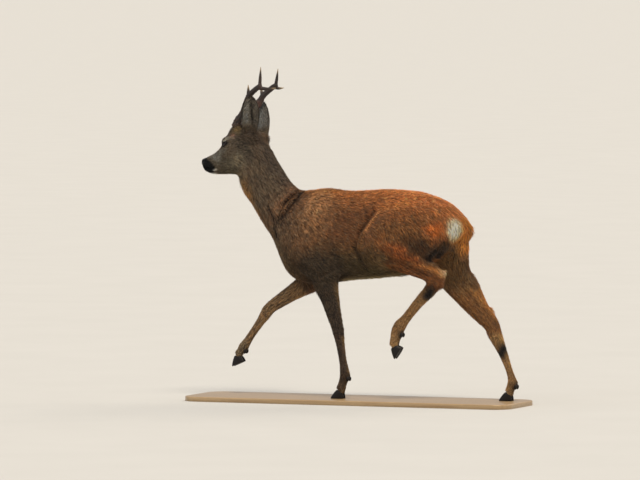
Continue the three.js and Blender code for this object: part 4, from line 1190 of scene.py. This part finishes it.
root, root_out, root_stream = at_roots(skin_points), unit(at_roots(faces_out)), unit(at_roots(stream))
root_coat, root_tone = at_roots(coat), at_roots(tone)
root_ear = at_roots(is_ear.astype(float)) > 0.5

# %% Their shape
ROOT_SUNK = 0.6  # millimetres
BEND_LENGTH, BEND_DEPTH, BEND_WIDTH = 0.42, 0.72, 0.75  # shares of a tuft's own length, depth and width


def spikes(root, out, stream, coat, rng):
    """The seven points of each tuft: three across the root, three across the bend and the tip, which
    lies the rest of the length on, a little higher or lower and a little aside. The middle of the upper
    side stands up as a ridge."""
    count = len(root)
    sway = rng.normal(0, 0.16, count)[:, None]
    side = np.cross(out, stream)
    stream = unit(stream + sway * side)
    side = np.cross(out, stream)
    depth, length, width = (coat[:, k] * rng.uniform(low, high, count) for k, low, high in
                            ((0, .65, 1.1), (1, .75, 1.25), (2, .75, 1.25)))
    depth, length, half = depth[:, None], length[:, None], width[:, None] / 2
    foot = root - out * ROOT_SUNK
    bend = root + stream * length * BEND_LENGTH + out * depth * BEND_DEPTH
    tip = (root + stream * length * 0.95 + out * depth * rng.uniform(0.6, 1.15, count)[:, None]
           + side * length * rng.normal(0, 0.07, count)[:, None])
    ridge = out * half * 0.55
    return np.stack([foot - side * half, foot + ridge, foot + side * half, bend - side * half * BEND_WIDTH,
                     bend + ridge * 0.8, bend + side * half * BEND_WIDTH, tip], 1)


TUFT_TRIANGLES = np.array([[0, 1, 4], [0, 4, 3], [1, 2, 5], [1, 5, 4], [2, 0, 3], [2, 3, 5],
                           [3, 4, 6], [4, 5, 6], [5, 3, 6], [0, 2, 1]])
# Where each corner of each triangle lies on the tuft's own small patch of the map: the three sides are
# unfolded next to each other, from the root at 0 to the tip at 1.
TUFT_MAP = np.array([
    [[0, 0], [.3, 0], [.3, .5]], [[0, 0], [.3, .5], [0, .5]], [[.3, 0], [.6, 0], [.6, .5]],
    [[.3, 0], [.6, .5], [.3, .5]], [[.65, 0], [.95, 0], [.95, .5]], [[.65, 0], [.95, .5], [.65, .5]],
    [[0, .5], [.3, .5], [.15, 1]], [[.3, .5], [.6, .5], [.45, 1]], [[.65, .5], [.95, .5], [.8, 1]],
    [[.97, 0], [1, 0], [1, .1]]])
PATCH = 0.003  # the side of a patch on the map

# Rain and wind leave hair in clumps: noise of about 8 mm that is drawn out along the stream.
streaks = root - 0.8 * (root * root_stream).sum(1, keepdims=True) * root_stream
clump = np.tanh(1.5 * mottle(streaks, 8, 30))
on_neck_share = smooth_step(-190, -260, root[:, 0]) * smooth_step(-450, -410, root[:, 0])
root_coat[:, 0] *= 1 + 0.28 * clump
spike_points = spikes(root, root_out, root_stream, root_coat, GROWTH)

# %% Their colours
# A tuft is darker at its root and paler towards its tip, as light reaches it; tufts differ from each
# other; and on the grey neck and face many have a pale tip, which gives the grizzled look.
ALONG_TUFT = np.array([.72, .78, .72, 1, 1.05, 1, 1.18])[None, :, None]  # brightness of its points
PALE_ALONG = np.array([0, 0, 0, .3, .3, .3, .8])[None, :, None]
PALE_TIP = "#c4b190"
own = (0.19 * GROWTH.normal(size=len(root)) + (0.16 + 0.26 * on_neck_share) * clump
       + 0.05 * mottle(streaks, 30))
grey = smooth_step(-215, -290, root[:, 0]) * (1 - smooth_step(-500, -530, root[:, 0]))
grizzle = (GROWTH.random(len(root)) < 0.10 + 0.30 * grey) * (root_tone.max(1) > 0.15)
warm = 0.035 * GROWTH.normal(size=len(root))
spike_tone = root_tone[:, None] * ALONG_TUFT
spike_tone = spike_tone * (1 + own)[:, None, None] * (1 + warm[:, None] * [1, 0, -1])[:, None]
pale = PALE_ALONG * grizzle[:, None, None]
spike_tone = np.clip(spike_tone + pale * 0.8 * (srgb(PALE_TIP) - spike_tone), 0.01, 1)

# %% [markdown]
# ## The coat in pieces
#
# A piece may hold 200,000 triangles, so the coat is parted where a furrier would part it: face, ears,
# neck, forelegs, each hind leg, and shoulder, flank and rump on each side. Each piece has a map for
# baking. A view from the camera would squeeze the far side to nothing, so the skin is unwrapped round
# its own bones: along the bone one way and round it the other, each bone in a strip of its own, and each
# tuft is a patch at its root's place there.

# %% Coat material
def coat_material():
    """Short dry hair with a soft shine. Its streaks are 0.7 mm wide, a dozen hairs together, as single
    hairs would be too fine to show."""
    material, tree, place = new_material("short summer coat")
    marking = add_node(tree, "Attribute", {"attribute_name": "marking"}).outputs["Color"]
    strands = add_node(tree, "TexNoise", Vector=place, Scale=1400.0, Detail=2.0).outputs["Fac"]
    shade = add_node(tree, "MapRange", Value=strands, To_Min=0.78, To_Max=1.16).outputs[0]
    colour = add_node(tree, "Mix", {"data_type": "RGBA", "blend_type": "MULTIPLY"}, Factor=1.0, _6=marking,
                      _7=shade).outputs[2]
    finish_surface(tree, Base_Color=colour, Roughness=0.58, Specular_IOR_Level=0.28, Sheen_Weight=0.06,
                   Sheen_Roughness=0.45)
    return material


# %% Grow the pieces
root_arrow, root_near = measured_from_bones(root)
root_near = np.where(root_ear[:, None] == BODY_ONLY[None], 1e3, root_near)
root_bone = root_near.argmin(1)
COAT_MATERIAL = coat_material()


def bone_place(which):
    """The place of roots on the unwrapped skin: the share along the bone, a third more at each end
    for what lies beyond it, and the angle round the bone in a strip for each bone of the piece."""
    bone = root_bone[which]
    used, strip = np.unique(bone, return_inverse=True)
    axis = unit(BONE_TO - BONE_FROM)[bone]
    long = np.linalg.norm(BONE_TO - BONE_FROM, axis=1)[bone]
    along = ((root[which] - BONE_FROM[bone]) * axis).sum(1) / long
    sideways = unit(np.cross(axis, [0.0, 1.0, 0.0]))
    arrow = root_arrow[which, bone]
    angle = np.arctan2((arrow * np.cross(axis, sideways)).sum(1), (arrow * sideways).sum(1))
    angle = angle / (2 * np.pi) + 0.5
    u = np.clip((along + 0.34) / 1.68, 0, 1) * 0.98 + 0.008
    v = (strip + 0.01 + angle * 0.97) / len(used)
    return np.column_stack([u, v * 0.985 + 0.004])


def grow_coat(name, which, slot):
    """One piece of the coat, of the tufts whose roots are asked for."""
    which = np.flatnonzero(which)
    faces = (TUFT_TRIANGLES[None] + 7 * np.arange(len(which))[:, None, None]).reshape(-1, 3)
    piece = build(name, spike_points[which], [faces], COAT_MATERIAL)
    keep_value(piece, "marking", linear(spike_tone[which].reshape(-1, 3)))
    place = bone_place(which)[:, None, None] + PATCH * (TUFT_MAP[None] - 0.5)
    piece.data.uv_layers.new(name="OFBake").data.foreach_set("uv", place.astype(np.float32).ravel())
    dress(piece, slot)


def on_bones(start, *ends):
    """Which roots lie nearest to a bone whose name has this start and one of these ends."""
    return np.isin(root_bone, [number for number, name in enumerate(BONE_NAMES)
                               if name.startswith(start) and name.endswith(ends)])


on_face = (on_bones("muzzle", "") | on_bones("head", "")) & ~root_ear
on_neck = on_bones("neck", "")
foreleg_low, hindleg_low = on_bones("foreleg", "2", "3", "4"), on_bones("hindleg", "1", "2", "3")
rest = ~(on_face | root_ear | on_neck | foreleg_low | hindleg_low)
PARTS = {"coat_face": on_face, "coat_ears": root_ear, "coat_neck": on_neck, "coat_forelegs": foreleg_low,
         "coat_hindleg_left": hindleg_low & (root[:, 1] < 0),
         "coat_hindleg_right": hindleg_low & (root[:, 1] >= 0)}
for side_name, side in SIDES.items():
    here = rest & (root[:, 1] * side > 0)
    third = np.digitize(root[:, 0], np.quantile(root[here, 0], [1 / 3, 2 / 3]))
    for number, part in enumerate(("shoulder", "flank", "rump")):
        PARTS[f"coat_{part}_{side_name}"] = here & (third == number)
for name, which in PARTS.items():
    grow_coat(name, which, "face" if name in ("coat_face", "coat_ears") else "coat")

# %% [markdown]
# ## Glass eyes
#
# A taxidermist sets a glass eye: a ball with a clear bulge at the front, painted from behind. A deer's
# iris is dark brown and its pupil a wide bar, level with the ground. The colour is worked out from each
# point's place in the eye's own frame, so the bar stays level, and a polished surface gives the wet shine.

# %% Eye shape and colours
def eye_surface(side):
    """Rings from the front of the eye back round the ball. Near the front they stand out from the ball
    by up to 1 mm as a bell curve, which is the cornea."""
    middle, axes = eye_frame(side)
    turn = np.concatenate([np.linspace(0, 0.9, 40), np.linspace(0.95, np.pi, 20)])
    radius = EYE_RADIUS - 0.4 + 1.0 * bell(turn, 0.5)
    ways = sphere(turn, 64)
    return middle + (radius[:, None, None] * ways) @ axes, ways


def eye_colours(side, flat):
    """Pupil, iris, its darker edge and the brown white of a deer's eye, by place on the ball."""
    _, axes = eye_frame(side)
    level = unit(np.array([axes[0, 2], axes[1, 2]]))  # up, as the eye's own frame sees it
    upright = flat[..., :2] @ level
    sideways = flat[..., :2] @ np.array([level[1], -level[0]])
    reach = np.hypot(flat[..., 0], flat[..., 1]) + (flat[..., 2] < 0) * 2
    bar = (np.abs(sideways / 0.34) ** 3 + np.abs(upright / 0.15) ** 3) ** (1 / 3)
    pupil = 1 - smooth_step(0.85, 1.05, bar)
    colours = np.tile(srgb("#1d0f08"), (*reach.shape, 1))
    colours = colours + (0.5 + 0.5 * np.sin(np.arctan2(upright, sideways) * 46))[..., None] * 0.025
    colours = colours + smooth_step(0.50, 0.60, reach)[..., None] * (srgb("#0b0605") - colours)
    colours = colours + smooth_step(0.66, 0.80, reach)[..., None] * (srgb("#1c130d") - colours)
    return colours + pupil[..., None] * (srgb("#030303") - colours)


def glass_material():
    """Painted glass, polished: nearly black, with one sharp reflection."""
    material, tree, place = new_material("glass eye")
    colour = add_node(tree, "Attribute", {"attribute_name": "marking"}).outputs["Color"]
    cloud = add_node(tree, "TexNoise", Vector=place, Scale=900.0).outputs["Fac"]
    rough = add_node(tree, "MapRange", Value=cloud, To_Min=0.03, To_Max=0.07).outputs[0]
    finish_surface(tree, Base_Color=colour, Roughness=rough, IOR=1.42)
    return material


GLASS = glass_material()
for side_name, side in SIDES.items():
    grid, flat = eye_surface(side)
    quads = outward(grid.reshape(-1, 3), net(*grid.shape[:2]), EYE * [1, side, 1])
    eye = build(f"eyeball_{side_name}", grid, [quads], GLASS)
    keep_value(eye, "marking", linear(eye_colours(side, flat).reshape(-1, 3)))
    dress(eye, "eye", f"eye_{side_name}")

# %% [markdown]
# ## Antlers
#
# A roebuck's antler is a beam with three points. At its foot is the burr, a ring of knobs, then come
# pearls, small beads that are thickest low down, and long grooves where the blood vessels lay; the tips
# are polished pale by rubbing on bark. The beam and tines are tubes joined by a fine voxel remesh, so they
# branch without a seam. Grooves and pearls are then pressed into the surface, along its normals.

# %% Antler shape
BEAM = [[-416, 24, 872, 13], [-424, 27, 906, 12.5], [-409, 36, 928, 11], [-395, 45, 943, 10.5],
        [-381, 54, 970, 10], [-367, 62, 998, 9.5], [-347, 68, 1018, 8.8], [-324, 70, 1034, 8]]
TINES = {"left": ([-367, 66, 1038], [-265, 72, 1028], [-322, 65, 1098]),
         "right": ([-377, 66, 1028], [-296, 74, 1026], [-314, 66, 1090])}
FRONT_FORK, BACK_FORK = 5, 6.6  # where along the beam the front and the back tine leave it


def tine(root, tip):
    """A tapering tube from the beam to a tip, its middle hanging 3 mm below the straight line."""
    middle = (np.array(tip) + root[:3]) / 2 - [0, 0, 3]
    return [[*root[:3], root[3] * 0.75], [*middle, root[3] * 0.58], [*tip, 1.4]]


def antler_lines(side_name):
    """The centre lines of an antler: beam, front, back and top tine, as points with a radius."""
    mirror = np.array([1, SIDES[side_name], 1, 1])
    beam = np.array(BEAM, float) * mirror
    front, back, top = (np.array(tip, float) * mirror[:3] for tip in TINES[side_name])
    return [beam, tine(beam[FRONT_FORK], front), tine(row_at(beam, np.array([BACK_FORK]))[0], back),
            tine(beam[-1], top)]


def antler(side_name):
    """Joins the tubes and the burr, presses in grooves and pearls, and returns the points, the quads,
    how far each point was lifted and how far it is from the nearest tip."""
    side = SIDES[side_name]
    rng = np.random.default_rng(31 + side)
    lines = antler_lines(side_name)
    burr = np.array(BEAM[1][:3]) * [1, side, 1] + [1, 0, -1]
    grids = [horn(line, 28, 10) for line in lines] + [ball(burr, (15.5, 14.5, 6.5))]
    points, quads, edges = voxel_skin(grids, 1.15)
    points = relaxed(points, edges, 5, 0.5)
    out = facing(points, halved(quads))
    if (out * (points - points.mean(0))).sum() < 0:
        quads, out = quads[:, ::-1], -out
    beam = lines[0]
    along = row_at(beam, np.linspace(0, len(beam) - 1, 120))
    gap = np.linalg.norm(points[:, None] - along[None, :, :3], axis=2)
    nearest = gap.argmin(1)
    low = 1 - nearest / 119
    ahead = unit(np.gradient(along[:, :3], axis=0))[nearest]
    across = unit(np.cross([0.0, 1.0, 0.0], ahead))
    arrow = points - along[nearest, :3]
    angle = np.arctan2((arrow * np.cross(ahead, across)).sum(1), (arrow * across).sum(1))
    wave = np.sin(angle * 8 + 1.4 * np.sin(nearest / 9) + rng.uniform(0, 6))
    wave2 = np.sin(angle * 13 - 1.1 * np.sin(nearest / 6) + rng.uniform(0, 6))
    tips = np.array([lines[k][-1][:3] for k in (1, 2, 3)])
    to_tip = np.linalg.norm(points[:, None] - tips, axis=2).min(1)
    worn = smooth_step(14, 45, to_tip)
    lift = worn * (0.7 * wave + 0.35 * wave2)
    odds = low ** 1.6 * worn
    seeds = rng.choice(len(points), 230, p=odds / odds.sum(), replace=False)
    size = rng.uniform(1.3, 2.8, len(seeds))
    pearls = bell(np.linalg.norm(points[:, None] - points[seeds], axis=2), size).max(1)
    lift += 2.1 * pearls * worn
    round_burr = np.arange(19) / 19 * 2 * np.pi + rng.uniform(-.1, .1, 19)
    knobs = burr + np.stack([15 * np.cos(round_burr), 14 * np.sin(round_burr),
                             1.5 * np.sin(3 * round_burr)], -1)
    lift += 2.2 * bell(np.linalg.norm(points[:, None] - knobs, axis=2).min(1), 2.4)
    return points + out * lift[:, None], quads, lift, to_tip


def antler_material():
    """Antler bone stained by sap and bark: dark brown in the grooves, ivory where it is rubbed."""
    material, tree, place = new_material("antler bone")
    colour = add_node(tree, "Attribute", {"attribute_name": "marking"}).outputs["Color"]
    stain = add_node(tree, "TexNoise", Vector=place, Scale=160.0, Detail=4.0).outputs["Fac"]
    pores = add_node(tree, "TexNoise", Vector=place, Scale=1500.0, Detail=2.0).outputs["Fac"]
    shade = add_node(tree, "MapRange", Value=stain, To_Min=0.65, To_Max=1.3).outputs[0]
    mixed = add_node(tree, "Mix", {"data_type": "RGBA", "blend_type": "MULTIPLY"}, Factor=1.0, _6=colour,
                     _7=shade).outputs[2]
    rough = add_node(tree, "MapRange", Value=pores, To_Min=0.42, To_Max=0.66).outputs[0]
    bump = add_node(tree, "Bump", Height=pores, Strength=0.35, Distance=0.0005).outputs[0]
    finish_surface(tree, Base_Color=mixed, Roughness=rough, Normal=bump)
    return material


BONE = antler_material()
for side_name in SIDES:
    points, quads, lift, to_tip = antler(side_name)
    colours = np.tile(srgb("#2c1d14"), (len(points), 1))
    colours = washed(colours, "#120c08", smooth_step(0.4, -0.7, lift) * 0.9)
    colours = washed(colours, "#62432f", smooth_step(0.9, 2.0, lift) * 0.5)
    colours = washed(colours, "#7d4a3a", bell(to_tip - 62, 16) * 0.45)
    colours = washed(colours, "#b7a07c", smooth_step(24, 4, to_tip) * 0.8)
    piece = build(f"antler_{side_name}_whole", points, [quads], BONE)
    keep_value(piece, "marking", linear(colours))
    parts = ("beam", "front_tine", "back_tine", "top_tine")
    dress(piece, "antler", *(f"antler_{side_name}_{part}" for part in parts))

# %% [markdown]
# ## Hooves
#
# Each foot is two claws side by side, pointed in front, high and narrow, with two dewclaws behind the
# fetlock. A claw is rings of a pointed oval from its sole to its crown, each ring a little further back.
# Horn grows down from the crown in rings, so a fine ripple follows its height.

# %% Hoof shape
CLAW_LENGTH, CLAW_WIDTH, CLAW_HEIGHT, CLAW_GAP = 46.0, 16.0, 29.0, 2.0
# height, toe, heel and half width, as shares of the claw's size
CLAW_ROWS = np.array([[0, -.50, .40, .40], [.03, -.55, .43, .48], [.25, -.49, .43, .49], [.65, -.30, .4, .46],
                      [.92, -.14, .37, .41], [1, -.08, .34, .36]])


def turned(points, degrees):
    """Points turned about the y axis, nose down for positive degrees."""
    t = math.radians(-degrees)
    return points @ np.array([[math.cos(t), 0, -math.sin(t)], [0, 1, 0], [math.sin(t), 0, math.cos(t)]])


def claw(limb, which):
    """One claw, hanging by the middle of its crown from the limb's last joint."""
    side, _, hoof_down, _ = LIMBS[limb]
    steps = np.linspace(0, len(CLAW_ROWS) - 1, 34)
    rows = row_at(CLAW_ROWS, steps)
    rows = np.concatenate([rows[:1], rows, rows[-1:]])
    closed = np.ones(len(rows))
    closed[[0, -1]] = 0
    height, toe, heel_at, half = rows.T[..., None]
    angle = np.linspace(0, 2 * np.pi, 40, endpoint=False)[None]
    ripple = 0.28 * np.sin(height * 46 + 1.2 * np.cos(angle)) * smooth_step(0.05, 0.15, height)
    reach = (CLAW_LENGTH * (heel_at - toe) / 2 + ripple) * closed[:, None]
    across = (CLAW_WIDTH * half + ripple * 0.6) * closed[:, None]
    point = np.where(np.cos(angle) < 0, 0.80, 0.62) + 0.25  # the toe is pointed, the heel is round
    bulge = np.sign(np.sin(angle)) * np.abs(np.sin(angle)) ** point
    crown = CLAW_LENGTH * (0.36 - 0.08) / 2
    x = CLAW_LENGTH * (toe + heel_at) / 2 + np.cos(angle) * reach - crown
    y = which * (CLAW_WIDTH + CLAW_GAP) / 2 + across * bulge
    z = CLAW_HEIGHT * (height - 1 - 0.32 * height ** 2 * (0.5 + 0.5 * np.cos(angle)))
    return turned(np.stack([x, y, z], -1), hoof_down) + limb_joints(limb)[-1]


def dewclaw(limb, which):
    """A small pointed lobe behind the fetlock, tipped down the pastern."""
    fetlock, crown = limb_joints(limb)[-2:]
    down = unit(crown - fetlock)
    lobe = ball((0, 0, 0), (5.3, 4.8, 8.4))
    lobe[..., 0] *= 1 - 0.35 * np.clip(-lobe[..., 2] / 8.4, 0, 1) ** 2
    tilt = 20 - math.degrees(math.atan2(-down[0], -down[2]))
    place = fetlock + rearward(down) * 17 + down * 9 + [0, 9 * which, 0]
    return turned(lobe, tilt) + place


def horn_material():
    """Hoof horn: black-brown, worn to a satin shine, with streaks about 2.4 mm apart."""
    material, tree, place = new_material("hoof horn")
    streaks = add_node(tree, "TexNoise", Vector=place, Scale=420.0, Detail=4.0).outputs["Fac"]
    ramp = add_node(tree, "Mix", {"data_type": "RGBA"}, Factor=streaks, _6=paint("#060504"),
                    _7=paint("#1e1712")).outputs[2]
    rough = add_node(tree, "MapRange", Value=streaks, To_Min=0.42, To_Max=0.62).outputs[0]
    bump = add_node(tree, "Bump", Height=streaks, Strength=0.3, Distance=0.0006).outputs[0]
    finish_surface(tree, Base_Color=ramp, Roughness=rough, Normal=bump, Specular_IOR_Level=0.25)
    return material


HORN = horn_material()
for limb in LIMBS:
    points, quads = [], []
    for shell in [shape(limb, which) for shape in (claw, dewclaw) for which in (-1, 1)]:
        faces = outward(shell.reshape(-1, 3), net(*shell.shape[:2]))
        quads.append(faces + sum(len(part) for part in points))
        points.append(shell.reshape(-1, 3))
    hooves = build(f"hooves_{limb}", np.concatenate(points), [np.concatenate(quads)], HORN)
    dress(hooves, "hoof", *(f"{limb}_{part}_{n}" for part in ("claw", "dewclaw") for n in (1, 2)))

# %% [markdown]
# ## The board
#
# Two feet carry the animal and two are in the air, so it is mounted on a board. Museum boards are plain:
# oak, planed, its upper edge rounded over, and varnished. Its outline is a rectangle with round corners,
# carried up a profile that steps in by a quarter circle at the top.

# %% Board
BOARD_ROUND = 128
BOARD = {"length": 1160.0, "width": 300.0, "thickness": BOARD_TOP, "corner": 60.0, "edge": 3.5}


def board_surface():
    """Rings of the outline, each moved in from the edge by the profile, then drawn together to the
    middle, at the underside and at the top."""
    angle = (np.arange(BOARD_ROUND) + 0.5) / BOARD_ROUND * 2 * np.pi
    turn = np.stack([np.cos(angle), np.sin(angle)], -1)
    corner = np.sign(turn) * [BOARD["length"] / 2 - BOARD["corner"], BOARD["width"] / 2 - BOARD["corner"]]
    quarter = np.linspace(0, np.pi / 2, 7)
    inset = np.concatenate([[1.0, 0.0], BOARD["edge"] * (1 - np.cos(quarter))])
    height = np.concatenate([[0.0, 1.0], BOARD["thickness"] - BOARD["edge"] * (1 - np.sin(quarter))])
    rings = corner[None] + turn[None] * (BOARD["corner"] - inset)[:, None, None]
    rings = np.concatenate([rings[:1] * 0, rings[:1] / 2, rings, rings[-1:] / 2, rings[-1:] * 0])
    height = np.concatenate([[0, 0], height, [BOARD["thickness"]] * 2]) - BOARD_TOP
    return np.concatenate([rings, np.repeat(height[:, None], BOARD_ROUND, 1)[..., None]], -1)


def oak_material():
    """Planed oak under satin varnish: growth bands 4 to 9 mm apart along the board, with short pores."""
    material, tree, place = new_material("varnished oak")
    drawn = add_node(tree, "Mapping", Vector=place, Scale=(1.1, 22.0, 22.0)).outputs[0]
    bands = add_node(tree, "TexNoise", Vector=drawn, Scale=6.0, Detail=5.0, Distortion=0.6).outputs["Fac"]
    thin = add_node(tree, "Mapping", Vector=place, Scale=(30.0, 900.0, 900.0)).outputs[0]
    pores = add_node(tree, "TexNoise", Vector=thin, Scale=2.0, Detail=3.0).outputs["Fac"]
    wood = add_node(tree, "Mix", {"data_type": "RGBA"}, Factor=bands, _6=paint("#8d6d48"),
                    _7=paint("#c7aa7f")).outputs[2]
    shade = add_node(tree, "MapRange", Value=pores, From_Min=0.35, From_Max=0.6, To_Min=0.8,
                     To_Max=1.0).outputs[0]
    colour = add_node(tree, "Mix", {"data_type": "RGBA", "blend_type": "MULTIPLY"}, Factor=1.0, _6=wood,
                      _7=shade).outputs[2]
    rough = add_node(tree, "MapRange", Value=pores, To_Min=0.42, To_Max=0.32).outputs[0]
    bump = add_node(tree, "Bump", Height=pores, Strength=0.2, Distance=0.0004).outputs[0]
    finish_surface(tree, Base_Color=colour, Roughness=rough, Normal=bump, Coat_Weight=0.3,
                   Coat_Roughness=0.25)
    return material


board_grid = board_surface()
board = build("stand_board", board_grid, [net(*board_grid.shape[:2])], oak_material())
dress(board, "stand", "stand_base")

# %% [markdown]
# ## Floor and light
#
# The model stands on a plain pale floor. The light is a studio's: a broad lamp high on the near side and
# a little to the rear draws the back, a softer one near the head keeps the face readable, a third on
# the far side rims the rump and legs, and a pale room lifts the shadows.

# %% Floor
def floor_material():
    """Matt pale paint."""
    material, tree, place = new_material("matt floor paint")
    cloud = add_node(tree, "TexNoise", Vector=place, Scale=3.0).outputs["Fac"]
    colour = add_node(tree, "Mix", {"data_type": "RGBA"}, Factor=cloud, _6=paint("#c3c1bc"),
                      _7=paint("#c9c7c2")).outputs[2]
    finish_surface(tree, Base_Color=colour, Roughness=0.9)
    return material


FLOOR_ROUND = 96
angle = np.linspace(0, 2 * np.pi, FLOOR_ROUND, endpoint=False)
floor_radii = np.array([0, 2e3, 2e4, 3e5])[:, None, None]
floor_rings = floor_radii * np.stack([np.cos(angle), np.sin(angle)], -1)
floor_points = np.concatenate([floor_rings, np.full((4, FLOOR_ROUND, 1), -BOARD_TOP)], -1)
floor = build("floor", floor_points, [net(4, FLOOR_ROUND)[:, ::-1]], floor_material())


# %% Lamps and room
def lamp(name, azimuth, elevation, softness, strength, colour):
    """A distant lamp, shining from a compass angle round the animal and a height above the floor."""
    data = bpy.data.lights.new(name, "SUN")
    data.energy, data.angle, data.color = strength, math.radians(softness), linear(colour).tolist()
    one = bpy.data.objects.new(name, data)
    one.rotation_euler = (math.radians(90 - elevation), 0, math.radians(azimuth))
    bpy.context.scene.collection.objects.link(one)


lamp("key", 30, 62, 22, 2.7, "#fff4e4")
lamp("front", -50, 30, 60, 0.45, "#eef3ff")
lamp("back", 150, 40, 40, 1.0, "#fff1dc")
room = bpy.data.worlds.new("room")
room.use_nodes = True
room.node_tree.nodes["Background"].inputs["Color"].default_value = paint("#dfe3e8")
room.node_tree.nodes["Background"].inputs["Strength"].default_value = 0.55
bpy.context.scene.world = room
bpy.context.scene.view_settings.view_transform = "Standard"
